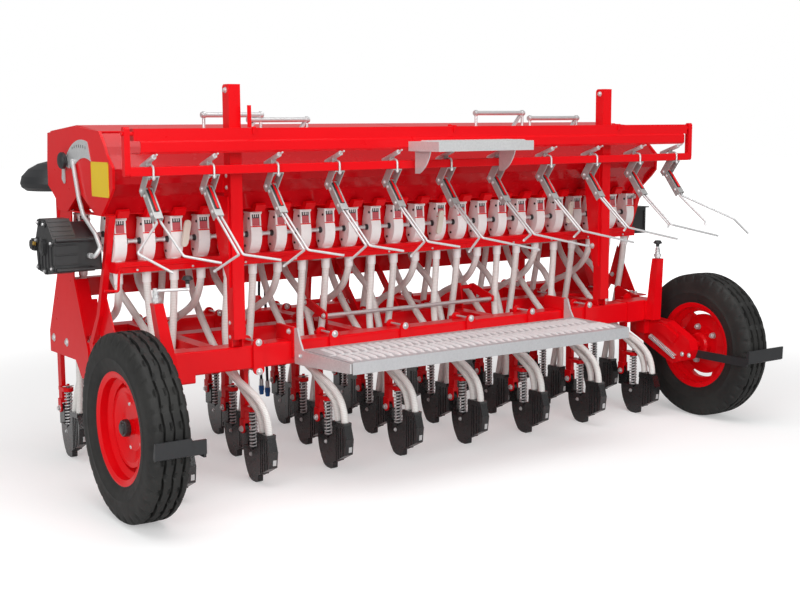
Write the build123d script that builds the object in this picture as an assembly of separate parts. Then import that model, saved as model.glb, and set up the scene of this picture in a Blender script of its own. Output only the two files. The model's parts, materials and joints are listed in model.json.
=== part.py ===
"""Mounted combined seed drill: 24 spring-loaded boot coulters in three ranks, 3 m working width.

Frame: +X to the right seen from behind, +Y forwards (direction of travel), +Z up, millimetres.
Origin: on the ground, under the middle of the machine.  Every depth is first measured forwards from
the rear coulter tips ("station"), and at(station) turns it into Y.
"""
from build123d import *
import os

# ---------------------------------------------------------------- driving sizes
ROW_PITCH = 125.0            # between neighbouring rows
ROWS = 24
RANKS = 3                    # rear, middle and front coulter ranks
RANK_STEP = 434.0            # from one rank to the next
GAP = 0.3                    # between separate touching pieces

BEAM = 100.0                 # square cross beams
BEAM_TOP = 597.0
BEAM_REAR = 25.0             # a beam's rear face ahead of its rank's coulter tips
BEAM_CORNER = 9.0
REAR_BEAM_HALF = 1405.0      # half length of the rear beam
RAIL_XS = (-1125.0, -375.0, 375.0, 1125.0)
RAIL_WIDTH = 60.0
RAIL_DEPTH = 80.0

WHEEL_X = 1576.0             # wheel's middle plane
AXLE_STATION = -162.0
TYRE_R = 370.0
TYRE_WIDTH = 165.0
BEAD_R = 203.0               # tyre seat on the rim
RIM_R = 222.0                # rim flange
HUB_R = 62.0
AXLE_R = 20.0

HOPPER_HALF = ROWS * ROW_PITCH / 2   # to the outside of the side frames
SHEET = 4.0                  # hopper and cover sheets
SIDE_SHEET = 6.0             # side frames
END_SHEET = 12.0             # folded end plates
METER_STATION = 290.0        # rear (seed) metering row
FRONT_METER_STATION = 690.0  # front (fertiliser) metering row
METER_TOP = 1140.0
METER_BOTTOM = 960.3
METER_WIDTH = 52.0
METER_DEPTH = 76.0
SPOUT_R = 20.0
SPOUT_BOTTOM = 900.0
SHAFT_Z = 1042.0
SHAFT_R = 9.0
HOSE_R = 16.0
BOOT_TOP = 222.0

MAST_IN = 1003.0             # mast channel, inner and outer face
MAST_OUT = 1056.0
MAST_TOP = 1680.0
MAST_DEPTH = 56.0
MAST_REAR = 3.0

SHELF_HALF = 1504.0          # rounded loading rail behind the hopper
SHELF_REAR = -90.0
SHELF_BOTTOM = 1406.0
SHELF_TOP = 1504.0

HARROW_TUBE = 36.0
HARROW_BOTTOM = 1322.0
HARROW_REAR = -82.0
HARROW_ARM = 24.0            # flat arm that hangs the harrow tube from the loading rail
TINE_XS = (-1430.0, -1172.0, -882.0, -588.0, -294.0, 0.0, 294.0, 588.0, 882.0, 1172.0, 1430.0)
TINE_R = 5.0

DECK_HALF = 760.0            # footboard
DECK_REAR = -447.0
DECK_FRONT = -60.0
DECK_TOP = 571.0
DECK_LIP = 50.0

STEP_LEFT = -237.0           # upper step, not quite in the middle
STEP_RIGHT = 285.0
STEP_REAR = -315.0
STEP_TOP = 1440.0
STEP_LIP = 42.0

MARKER_INSET = 109.0         # upright marker arm inside the side frame
MARKER_STATION = 1085.0
MARKER_PIVOT_Z = 562.0
MARKER_TIP_Z = 1222.0
MARKER_DISC_R = 178.0

SCRAPER_REAR = AXLE_STATION - TYRE_R - 34
ORIGIN_STATION = (SCRAPER_REAR + MARKER_STATION + MARKER_DISC_R) / 2

# worked out from the sizes above
LONG_BEAM_HALF = HOPPER_HALF - SIDE_SHEET
BEAM_BOTTOM = BEAM_TOP - BEAM
BEAM_FRONT = BEAM_REAR + BEAM
FRONT_FACE = (RANKS - 1) * RANK_STEP + BEAM_FRONT
MARKER_X = LONG_BEAM_HALF - MARKER_INSET
HARROW_X = SHELF_HALF + 28
MAST_FRONT = MAST_REAR + MAST_DEPTH

parts = {}


# ---------------------------------------------------------------- small helpers
def at(station):
    """Y of a station."""
    return station - ORIGIN_STATION


def block(x0, x1, s0, s1, z0, z1):
    """Box between two X, two stations and two heights."""
    return Pos((x0 + x1) / 2, at((s0 + s1) / 2), (z0 + z1) / 2) * Box(
        abs(x1 - x0), abs(s1 - s0), abs(z1 - z0))


def side_face(outline, x0, x1):
    """Closed (station, z) wire made a plate between two X; the wire is already in Y."""
    low, high = min(x0, x1), max(x0, x1)
    return extrude(Plane.YZ.offset(low) * make_face(outline), high - low)


def side_plate(points, x0, x1):
    """Plate with an outline of (station, z) corners, between two X."""
    return side_face(Polyline(*[(at(s), z) for s, z in points], close=True), x0, x1)


def round_plate(points, radius, x0, x1):
    """Plate with an outline of (station, z) corners that are all rounded, between two X."""
    return side_face(FilletPolyline(*[(at(s), z) for s, z in points], radius=radius, close=True), x0, x1)


def rod_x(x0, x1, station, z, radius):
    """Round bar along X."""
    low, high = min(x0, x1), max(x0, x1)
    return extrude(Plane.YZ.offset(low) * Pos(at(station), z) * Circle(radius), high - low)


def rod(p, q, radius):
    """Round bar between two (x, station, z) points."""
    a = Vector(p[0], at(p[1]), p[2])
    b = Vector(q[0], at(q[1]), q[2])
    return extrude(Plane(origin=a, z_dir=b - a) * Circle(radius), (b - a).length)


def bar_x(x0, x1, s0, s1, z0, z1, corner):
    """Bar along X with rounded long edges."""
    low, high = min(x0, x1), max(x0, x1)
    section = RectangleRounded(s1 - s0, z1 - z0, corner)
    return extrude(Plane.YZ.offset(low) * Pos(at((s0 + s1) / 2), (z0 + z1) / 2) * section, high - low)


def rear_stadium(x, s0, s1, z0, z1, width):
    """Upright plate with half-round ends, facing rearwards."""
    section = SlotOverall(z1 - z0, width, rotation=90)
    plane = Plane(origin=(x, at(s1), (z0 + z1) / 2), x_dir=(1, 0, 0), z_dir=(0, -1, 0))
    return extrude(plane * section, s1 - s0)


def bent(points, radius, bend):
    """Round wire or hose through (x, station, z) points, with arcs of one radius or a list of them."""
    corners = [(x, at(s), z) for x, s, z in points]
    path = FilletPolyline(*corners, radius=bend)
    return sweep(Plane(origin=path @ 0, z_dir=path % 0) * Circle(radius), path=path)


def both(shape):
    """A shape and its mirror image on the other side."""
    return [shape, mirror(shape, about=Plane.YZ)]


def keep(name, shapes):
    """Record the solids of a node."""
    if not isinstance(shapes, (list, tuple)):
        shapes = [shapes]
    solids = [s for shape in shapes for s in shape.solids()]
    parts[name] = solids[0] if len(solids) == 1 else Compound(children=solids)


def row_x(row):
    return (row - (ROWS - 1) / 2) * ROW_PITCH


def rank_of(row):
    """0 rear, 1 middle, 2 front: rows run front, rear, middle from the left."""
    return (2, 0, 1)[row % RANKS]


# ---------------------------------------------------------------- frame
for rank, name in enumerate(("rear_beam", "middle_beam", "front_beam")):
    half = REAR_BEAM_HALF if rank == 0 else LONG_BEAM_HALF
    start = rank * RANK_STEP + BEAM_REAR
    keep(name, bar_x(-half, half, start, start + BEAM, BEAM_BOTTOM, BEAM_TOP, BEAM_CORNER))

# lengthwise rails, the outer side plates that carry the legs, and the footboard's hooks
SIDE_RAIL = 12.0
SIDE_RAIL_X = REAR_BEAM_HALF + GAP
rails = []
for x in RAIL_XS:
    for bay in range(RANKS - 1):
        start = bay * RANK_STEP + BEAM_FRONT
        rails.append(block(x - RAIL_WIDTH / 2, x + RAIL_WIDTH / 2, start, start + RANK_STEP - BEAM,
                           BEAM_TOP - RAIL_DEPTH, BEAM_TOP))
side_rail = side_plate([(BEAM_REAR - 10, BEAM_BOTTOM), (BEAM_REAR - 10, BEAM_TOP + 3),
                        (BEAM_FRONT + 20, BEAM_TOP + 3),
                        (230, 618), (300, 642), (320, 628), (320, 530), (260, BEAM_BOTTOM)],
                       SIDE_RAIL_X, SIDE_RAIL_X + SIDE_RAIL)
GUSSET_X = LONG_BEAM_HALF - 27
foot = block(SIDE_RAIL_X, GUSSET_X + 6, 150, 240, BEAM_TOP + 3, BEAM_TOP + 9)
rails += both(side_rail + foot)
HOOK_X = DECK_HALF + 1
for side in (-1, 1):
    hook = round_plate([(BEAM_REAR - 18, BEAM_BOTTOM + 30), (BEAM_REAR - 18, BEAM_TOP + 62),
                        (BEAM_FRONT + 30, BEAM_TOP + 62), (BEAM_FRONT + 30, BEAM_BOTTOM + 40),
                        (BEAM_FRONT + GAP, BEAM_BOTTOM + 40), (BEAM_FRONT + GAP, BEAM_TOP + GAP),
                        (BEAM_REAR - GAP, BEAM_TOP + GAP), (BEAM_REAR - GAP, BEAM_BOTTOM + 30)], 7,
                       side * HOOK_X, side * (HOOK_X + 14))
    rails.append(hook)

HITCH_X = 412.5              # shoulders of the lower hitch pins, 825 mm apart
HITCH_STATION = FRONT_FACE + 110
HITCH_Z = 500.0
HITCH_PIN_R = 14.35
HITCH_PIN_OUT = 75.0
SHANK_R = 16.0               # thicker part of each pin, through the hitch plate
PIN_SHOULDER = HITCH_X + 0.5
HITCH_PLATE = 15.0
TOP_LINK_Z = HITCH_Z + 610
TOP_LINK_STATION = FRONT_FACE + 55
plate = round_plate([(FRONT_FACE + GAP, BEAM_BOTTOM - 20), (HITCH_STATION + 35, HITCH_Z - 35),
                     (HITCH_STATION + 35, HITCH_Z + 35), (FRONT_FACE + 40, BEAM_TOP + 60),
                     (FRONT_FACE + GAP, BEAM_TOP + 60)], 10, HITCH_X - HITCH_PLATE, HITCH_X)
plate = plate - rod_x(HITCH_X - HITCH_PLATE - 1, HITCH_X + 1, HITCH_STATION, HITCH_Z, SHANK_R + 0.05)
keep("hitch_plates", both(plate))
stud = rod_x(PIN_SHOULDER, HITCH_X + HITCH_PIN_OUT, HITCH_STATION, HITCH_Z, HITCH_PIN_R)
stud = stud + rod_x(HITCH_X - HITCH_PLATE - 22, PIN_SHOULDER, HITCH_STATION, HITCH_Z, SHANK_R)
stud = stud + rod_x(HITCH_X - HITCH_PLATE - 22, HITCH_X - HITCH_PLATE - GAP, HITCH_STATION, HITCH_Z, 22)
stud = stud - rod((HITCH_X + HITCH_PIN_OUT - 11, HITCH_STATION, HITCH_Z - 20),
                  (HITCH_X + HITCH_PIN_OUT - 11, HITCH_STATION, HITCH_Z + 20), 5.5)
keep("hitch_pins", both(stud))

TOP_LINK_R = 12.9
EAR_IN = 27.0
LEG_IN = 108.0
LEG_OUT = 124.0
HEAD_FRONT = TOP_LINK_STATION - 36
tower_leg = side_plate([(FRONT_FACE + GAP, BEAM_TOP - 90), (FRONT_FACE + 45, BEAM_TOP - 90),
                        (FRONT_FACE + 45, BEAM_TOP + 20), (HEAD_FRONT, TOP_LINK_Z - 90),
                        (HEAD_FRONT, TOP_LINK_Z + 30),
                        (HEAD_FRONT - 50, TOP_LINK_Z + 30), (HEAD_FRONT - 60, TOP_LINK_Z - 120),
                        (FRONT_FACE + GAP, BEAM_TOP + 4)], LEG_IN, LEG_OUT)
tower = block(-LEG_OUT, LEG_OUT, HEAD_FRONT - 15, HEAD_FRONT, TOP_LINK_Z - 70, TOP_LINK_Z + 30)
for side in (-1, 1):
    ear = round_plate([(HEAD_FRONT - 10, TOP_LINK_Z - 60), (TOP_LINK_STATION + 30, TOP_LINK_Z - 26),
                       (TOP_LINK_STATION + 30, TOP_LINK_Z + 30), (HEAD_FRONT - 10, TOP_LINK_Z + 30)], 4,
                      side * EAR_IN, side * (EAR_IN + HITCH_PLATE))
    tower = tower + ear - rod_x(-60, 60, TOP_LINK_STATION, TOP_LINK_Z, TOP_LINK_R)
PORT_Z = 905.0               # bracket that the hydraulic hoses leave
PORT_OUT = LEG_OUT + 46
port = block(-PORT_OUT, -LEG_OUT + 1, FRONT_FACE + 2, FRONT_FACE + 42, PORT_Z - 30, PORT_Z + 30)
for piece in both(tower_leg) + [port]:
    tower = tower + piece
keep("hitch_tower", tower)
TOWER_BACK = HEAD_FRONT - 54
brace = side_plate([(RANK_STEP + BEAM_FRONT - 62, BEAM_TOP + GAP),
                    (RANK_STEP + BEAM_FRONT - 12, BEAM_TOP + GAP),
                    (TOWER_BACK, TOP_LINK_Z - 55), (TOWER_BACK, TOP_LINK_Z - 5)], LEG_IN + 2, LEG_OUT - 2)
brace = brace - side_plate([(TOWER_BACK - 3, TOP_LINK_Z - 90), (TOWER_BACK + 60, TOP_LINK_Z - 90),
                            (TOWER_BACK + 60, TOP_LINK_Z + 30), (TOWER_BACK - 3, TOP_LINK_Z + 30)],
                           LEG_IN, LEG_OUT)
keep("hitch_braces", both(brace))

# cross tie between the side frames, in three lengths that meet the braces
TIE_REAR = 724.0
TIE_DEPTH = 60.0
TIE_BOTTOM = 769.0
TIE_HEIGHT = 81.0
for x0, x1 in ((-LONG_BEAM_HALF + GAP, -LEG_OUT + 2 - GAP), (-LEG_IN - 2 + GAP, LEG_IN + 2 - GAP),
               (LEG_OUT - 2 + GAP, LONG_BEAM_HALF - GAP)):
    rails.append(block(x0, x1, TIE_REAR, TIE_REAR + TIE_DEPTH, TIE_BOTTOM, TIE_BOTTOM + TIE_HEIGHT))
keep("frame_rails", rails)

# ---------------------------------------------------------------- hopper
HOPPER_TOP = 1488.0
FLOOR_Z = 1156.0
DIVIDER = 500.0              # station of the wall between seed and fertiliser
PEAK_Z = 1280.0


def sheet(points, x0, x1):
    """Folded sheet along X that follows (station, z) corners, standing inside them."""
    line = Polyline(*[(at(s), z) for s, z in points])
    outline = offset(line, SHEET, side=Side.LEFT)
    return side_face(outline, x0, x1)


REAR_WALL = [(262, HOPPER_TOP), (205, 1432), (190, 1400), (132, 1345), (135, 1283), (195, 1229), (246, 1160)]
FRONT_WALL = [(734, 1160), (770, 1194), (842, 1235), (876, 1256), (874, 1367), (862, HOPPER_TOP)]
INNER_HALF = HOPPER_HALF - GAP
keep("hopper_walls", [sheet(REAR_WALL, -INNER_HALF, INNER_HALF), sheet(FRONT_WALL, -INNER_HALF, INNER_HALF)])
floor = side_plate([(246, FLOOR_Z), (332, FLOOR_Z), (DIVIDER, PEAK_Z - SHEET), (648, FLOOR_Z), (734, FLOOR_Z),
                    (734, FLOOR_Z + SHEET - GAP), (650, FLOOR_Z + SHEET - GAP), (DIVIDER, PEAK_Z),
                    (330, FLOOR_Z + SHEET - GAP), (246, FLOOR_Z + SHEET - GAP)], -INNER_HALF, INNER_HALF)
divider = block(-INNER_HALF, INNER_HALF, DIVIDER - SHEET / 2, DIVIDER + SHEET / 2, PEAK_Z + GAP,
                HOPPER_TOP - 8)
keep("hopper_floor", [floor, divider])

END_PROFILE = [(862, 1486), (538, 1516), (259, 1495), (201, 1432), (183, 1400), (126, 1350),
               (130, 1268), (160, 1237), (262, 1152), (320, 1152), (500, 1240), (650, 1152), (770, 1152), (778, 1194),
               (842, 1235), (880, 1256), (878, 1367)]
end_plate = side_plate(END_PROFILE, HOPPER_HALF, HOPPER_HALF + END_SHEET)
keep("hopper_ends", both(end_plate))

LID_HINGE_STATION = 862.0
LID_HINGE_Z = 1494.0
LID_PEAK = 538.0             # station of the lids' ridge
HANDLES = ((-1, ((-1023, -724, 1559), (-803, -490, 1537))), (1, ((448, 766, 1566), (793, 1132, 1540))))
for side, name in ((-1, "left"), (1, "right")):
    lid = side_plate([(259, HOPPER_TOP + GAP), (259, 1494), (LID_PEAK, 1519), (LID_HINGE_STATION, 1494),
                      (LID_HINGE_STATION, HOPPER_TOP + GAP), (LID_PEAK, 1514)], side * 3,
                      side * (HOPPER_HALF - 2))
    keep("lid_" + name, lid)
for side, rails_of_lid in HANDLES:
    pieces = []
    for x0, x1, z in rails_of_lid:
        handle = rod_x(x0, x1, 330, z, 11)
        for x in (x0 + 12, x1 - 12):
            handle = handle + rod((x, 330, z), (x, 330, 1501.4), 7) + rod_x(x - 5, x + 5, 330, z, 15)
        pieces.append(handle)
    keep("lid_handles_left" if side < 0 else "lid_handles_right", pieces)

# ---------------------------------------------------------------- hopper supports and masts
BRACE_IN = GUSSET_X
side_frame = side_plate([(640, 1151), (770, 1151), (850, 856), (976, 591), (976, 495), (655, 500), (590, 430),
                         (540, 430), (503, 520), (503, 557), (640, 857)], LONG_BEAM_HALF, HOPPER_HALF)
flange = side_plate([(634, 857), (640, 857), (509, 560), (503, 560)], LONG_BEAM_HALF - 79, LONG_BEAM_HALF + 1)
flange = flange - block(0, HOPPER_HALF, 400, RANK_STEP + BEAM_FRONT + 2, BEAM_BOTTOM, BEAM_TOP + 25)
flange = flange - block(0, LONG_BEAM_HALF - 56, 560, 650, 770, 860)
end_leg = side_plate([(217, FLOOR_Z - GAP), (255, FLOOR_Z - GAP), (304, 994), (404, 726),
                      (500, BEAM_TOP + GAP), (462, BEAM_TOP + GAP), (373, 727)],
                     BRACE_IN, LONG_BEAM_HALF - GAP)
shelf_bar = block(BRACE_IN, HOPPER_HALF, 215, 650, FLOOR_Z - 6, FLOOR_Z - GAP)
gusset = side_plate([(372, 850), (228, BEAM_TOP + 10), (170, BEAM_TOP + 9 + GAP), (236, BEAM_TOP + 9 + GAP),
                     (445, 640)], GUSSET_X, GUSSET_X + 6)
keep("side_frames", both(side_frame + flange) + both(end_leg + gusset + shelf_bar))

mast = block(MAST_IN, MAST_OUT, MAST_REAR, MAST_FRONT, BEAM_TOP + GAP, MAST_TOP)
mast = mast - block(MAST_IN + 5, MAST_OUT - 5, MAST_REAR + 5, MAST_FRONT - 5, BEAM_TOP - 1, MAST_TOP - 5)
mast = fillet(mast.edges().filter_by(Axis.X).group_by(Axis.Z)[-1].sort_by(Axis.Y)[-1], 16)
mast = mast - block(MAST_IN - 1, MAST_OUT + 1, MAST_REAR - 1, BEAM_REAR, BEAM_TOP - 1, BEAM_TOP + 35)
keep("masts", both(mast))

LEG_SHEET = 8.0
inner_leg = side_plate([(MAST_FRONT - 40, 800), (MAST_FRONT - 6, 800), (70, 867), (99, 1028), (129, 1290),
                        (MAST_FRONT - 40, 1290)], MAST_IN - LEG_SHEET - GAP, MAST_IN - GAP)
outer_leg = side_plate([(MAST_FRONT - 40, 850), (115, 1000), (150, 1150), (188, 1225),
                        (MAST_FRONT - 40, 1225)],
                       MAST_OUT + GAP, MAST_OUT + LEG_SHEET + GAP)
cradle = block(MAST_IN - LEG_SHEET - GAP, MAST_OUT + LEG_SHEET + GAP, MAST_FRONT + GAP, 122, 1240, 1330)
keep("hopper_legs", both(inner_leg) + both(outer_leg) + both(cradle))

shelf = side_plate([(SHELF_REAR + 7, SHELF_TOP), (MAST_REAR - GAP, SHELF_TOP),
                    (MAST_REAR - GAP, SHELF_TOP - SHEET),
                    (SHELF_REAR + 11, SHELF_TOP - SHEET), (SHELF_REAR + 11, 1455), (SHELF_REAR + 4, 1449),
                    (SHELF_REAR + 4, SHELF_BOTTOM + 12), (SHELF_REAR + 10, SHELF_BOTTOM + SHEET),
                    (MAST_REAR - GAP, SHELF_BOTTOM + SHEET), (MAST_REAR - GAP, SHELF_BOTTOM),
                    (SHELF_REAR + 8, SHELF_BOTTOM), (SHELF_REAR, SHELF_BOTTOM + 9), (SHELF_REAR, 1451),
                    (SHELF_REAR + 7, 1457)], -SHELF_HALF + 24, SHELF_HALF - 24)
upper_end = block(SHELF_HALF - 25, SHELF_HALF, SHELF_REAR + 7, MAST_REAR - GAP, 1457, SHELF_TOP)
for piece in both(upper_end):
    shelf = shelf + piece
PIN_Z = SHELF_TOP - 19
shelf_pin = rod_x(SHELF_HALF - 1, HARROW_X + 18, HARROW_REAR + 12.5, PIN_Z, 8)
for pin in both(shelf_pin):
    shelf = shelf + pin
keep("loading_rail", shelf)


# ---------------------------------------------------------------- metering
def meter(x, station):
    """One metering box with its rim and spout; the box swells towards the rear below its window."""
    low, high = x - METER_WIDTH / 2, x + METER_WIDTH / 2
    rear, front = at(station) - METER_DEPTH / 2, at(station) + METER_DEPTH / 2
    outline = [Line((rear + 4, METER_TOP), (front - 22, METER_TOP)),
               Line((front - 22, METER_TOP), (front, METER_TOP - 76)),
               Line((front, METER_TOP - 76), (front, METER_BOTTOM + 30)),
               Line((front, METER_BOTTOM + 30), (front - 18, METER_BOTTOM)),
               Line((front - 18, METER_BOTTOM), (rear + 26, METER_BOTTOM)),
               ThreePointArc((rear + 26, METER_BOTTOM), (rear - 6, METER_BOTTOM + 58),
                             (rear, METER_TOP - 62)),
               Line((rear, METER_TOP - 62), (rear + 4, METER_TOP))]
    body = side_face(Wire(outline), low, high)
    body = body + block(x - METER_WIDTH / 2 - 3, x + METER_WIDTH / 2 + 3, station - METER_DEPTH / 2 - 3,
                        station + METER_DEPTH / 2 - 18, METER_TOP - 7, METER_TOP)
    body = body - rod_x(low - 9, high + 9, station - 4, SHAFT_Z, SHAFT_R + GAP)
    return body + rod((x, station, METER_BOTTOM), (x, station, SPOUT_BOTTOM), SPOUT_R)


# each flap's corners as (station, z) from the middle and top of its metering box
REAR_FLAP = [(-32, 2), (-76, 3), (-92, 32), (-84, 40), (-64, 38), (-52, 22), (-44, 15.4), (-32, 15.4)]
FRONT_FLAP = [(-32, 2), (-60, 2), (-58, 9), (-42, 15.4), (-32, 15.4)]


def shutter(x, station, flap):
    """Slide gate between the hopper and one metering box, with its flap."""
    gate = block(x - 21, x + 21, station - 33, station + 26, METER_TOP + GAP, FLOOR_Z - GAP)
    return gate + side_plate([(station + s, METER_TOP + z) for s, z in flap], x - 24, x + 24)


for name, station in (("seed", METER_STATION), ("fertiliser", FRONT_METER_STATION)):
    keep(name + "_meters", [meter(row_x(row), station) for row in range(ROWS)])
keep("shutters", [shutter(row_x(row), station, flap)
                  for station, flap in ((METER_STATION, REAR_FLAP), (FRONT_METER_STATION, FRONT_FLAP))
                  for row in range(ROWS)])
keep("meter_shafts", [rod_x(-BRACE_IN, BRACE_IN, station - 4, SHAFT_Z, SHAFT_R)
                      for station in (METER_STATION, FRONT_METER_STATION)])

RAIL_Z = 915.0
RAIL_REAR = METER_STATION - 50
meter_rail = block(-LONG_BEAM_HALF, LONG_BEAM_HALF, RAIL_REAR, RAIL_REAR + 6, RAIL_Z, RAIL_Z + 45) \
    + block(-LONG_BEAM_HALF, LONG_BEAM_HALF, RAIL_REAR + 6, RAIL_REAR + 100, RAIL_Z + 39, RAIL_Z + 45)
for row in range(ROWS):
    meter_rail = meter_rail - rod((row_x(row), METER_STATION, RAIL_Z),
                                  (row_x(row), METER_STATION, RAIL_Z + 50),
                                  SPOUT_R + GAP)
leg_space = block(BRACE_IN - 1, HOPPER_HALF, RAIL_REAR - 1, RAIL_REAR + 120, RAIL_Z - 1, RAIL_Z + 46)
for space in both(leg_space):
    meter_rail = meter_rail - space
for piece in both(block(BRACE_IN - 8, BRACE_IN - GAP, RAIL_REAR + 2, RAIL_REAR + 140, RAIL_Z, RAIL_Z + 39.5)):
    meter_rail = meter_rail + piece
back_sheet = METER_STATION + METER_DEPTH / 2 + 1
meter_rail = meter_rail + block(-BRACE_IN + 1, BRACE_IN - 1, back_sheet, back_sheet + SHEET, RAIL_Z + 44,
                                FLOOR_Z - GAP)
keep("meter_rail", meter_rail)

# ---------------------------------------------------------------- coulters
SHANK_THICK = 20.0
SHANK_DEEP = 50.0
PIVOT_Z = 212.0              # bolt between a shank's cheeks and its boot
CHEEK_OUT = 16.0
SPRING_R = 20.0
SPRING_AT = 76.0
SPRING_BOTTOM = 149.0
LUG_Z = 303.0
CLAMP_OVER = 28.0
SLEEVE = 6.0                 # sleeve of a depth tower, round the rear beam
SLEEVE_FRONT = 3.0           # its thinner front wall
TOWER_ROWS = (1, ROWS - 2)   # rear rows that are held by the sleeves
shanks = []
boots = []
springs = []
hoses = [[], [], []]
for row in range(ROWS):
    x = row_x(row)
    rank = rank_of(row)
    base = rank * RANK_STEP
    front = base + BEAM_FRONT
    shank = block(x - SHANK_THICK / 2, x + SHANK_THICK / 2, front + 9, front + SHANK_DEEP, PIVOT_Z + 27,
                  BEAM_TOP + 6)
    seat = front + (SLEEVE_FRONT + GAP if row in TOWER_ROWS else GAP)
    shank = shank + block(x - CHEEK_OUT, x + CHEEK_OUT, front + 9, front + 49, PIVOT_Z + 27, PIVOT_Z + 44)
    for side in (-1, 1):
        inner, outer = x + side * (SHANK_THICK / 2 + GAP), x + side * CHEEK_OUT
        shank = shank + rod_x(inner, outer, front + 29, PIVOT_Z, 20) + block(inner, outer, front + 9,
                                                                             front + 49, PIVOT_Z, PIVOT_Z + 28)
    shank = shank + rear_stadium(x, seat, front + 9.5, BEAM_BOTTOM - CLAMP_OVER, BEAM_TOP + CLAMP_OVER, 50)
    lug = block(x - 24, x + 24, base + SPRING_AT, front + 14, LUG_Z, LUG_Z + 17)
    lug = lug + rod((x, base + SPRING_AT, LUG_Z), (x, base + SPRING_AT, LUG_Z + 17), 24)
    shank = shank + lug + rod((x, base + SPRING_AT, LUG_Z + 16), (x, base + SPRING_AT, LUG_Z + 34), 7)
    shanks.append(shank)
    if row not in TOWER_ROWS:
        shanks.append(rear_stadium(x, base + BEAM_REAR - 13, base + BEAM_REAR - GAP,
                                   BEAM_BOTTOM - CLAMP_OVER, BEAM_TOP + CLAMP_OVER, 50))
    share = side_face(Wire([
        Line((at(base + 150), SPRING_BOTTOM - 6), (at(base + 150), 140)),
        ThreePointArc((at(base + 150), 140), (at(base + 136), 68), (at(base + 100), 10)),
        ThreePointArc((at(base + 100), 10), (at(base + 72), 0), (at(base + 38), 0)),
        Line((at(base + 38), 0), (at(base + 24), 6)),
        Line((at(base + 24), 6), (at(base + 22), 34)),
        Line((at(base + 22), 34), (at(base + 40), SPRING_BOTTOM - 6)),
        Line((at(base + 40), SPRING_BOTTOM - 6), (at(base + 150), SPRING_BOTTOM - 6))]), x - 13, x + 13)
    housing = side_plate([(base + 60, 130), (base + 44, 60), (base + 23, 30), (base - 90, 86), (base - 101, 161),
                          (base - 81, BOOT_TOP), (base + 12, BOOT_TOP - 12), (base + 16, 160),
                          (base + 40, 148)], x - 19, x + 19)
    rib = side_plate([(base - 8, 48), (base - 16, 46), (base - 22, BOOT_TOP - 8), (base - 10, BOOT_TOP - 10)],
                     x - 21, x + 21)
    collar = side_plate([(base - 82, BOOT_TOP - 14), (base - 84, BOOT_TOP + 5), (base + 12, BOOT_TOP + 3),
                         (base + 14, BOOT_TOP - 24)], x - 21, x + 21)
    tongue = block(x - SHANK_THICK / 2, x + SHANK_THICK / 2, base + 112, front + 49, SPRING_BOTTOM - 12, PIVOT_Z)
    tongue = tongue + rod_x(x - SHANK_THICK / 2, x + SHANK_THICK / 2, front + 29, PIVOT_Z, 20)
    seat_plate = block(x - 20, x + 20, base + 54, base + 130, SPRING_BOTTOM - 12, SPRING_BOTTOM - GAP)
    boots.append(share + housing + rib + collar + tongue + seat_plate)
    springs.append(rod((x, base + SPRING_AT, SPRING_BOTTOM), (x, base + SPRING_AT, LUG_Z - GAP), SPRING_R))
    for source, entry, side in ((METER_STATION, -8, 1), (FRONT_METER_STATION, -62, -1)):
        end = [(x, base + entry - 18, BOOT_TOP + 90), (x, base + entry, BOOT_TOP + 9.5)]
        start = [(x, source, SPOUT_BOTTOM - GAP), (x, source, SPOUT_BOTTOM - 60)]
        past = 1 if row == TOWER_ROWS[0] else -1
        if rank == 0 and side == 1:
            middle = [(x + past * 20, 290, 620), (x + past * 30, 240, 500), (x + past * 30, 140, 415),
                      (x + past * 20, 50, 355)]
            end[0] = (x, -2, 300)
        elif rank == 0:
            middle = [(x + past * 40, 520, 700), (x + past * 60, 300, 540), (x + past * 60, 150, 450),
                      (x + past * 15, 20, 382)]
            end[0] = (x + past * 2, -60, 300)
        elif rank == 1 and side == -1:
            aside = x - (42 if row == ROWS - 1 else 22)
            middle = [(aside, 600, 800), (aside, 425, 700)]
        elif rank == 2 and side == 1:
            aside = x + (44 if row == 0 else 19)
            middle = [(aside, 420, 720), (aside, 700, 620)]
        else:
            middle = [(x + side * 12, (source + base + entry) / 2, 560)]
        hoses[rank].append(bent(start + middle + end, HOSE_R, 26))
keep("shanks", shanks)
keep("boots", boots)
keep("coulter_springs", springs)
for rank, name in enumerate(("rear", "middle", "front")):
    keep("hoses_" + name, hoses[rank])

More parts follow.
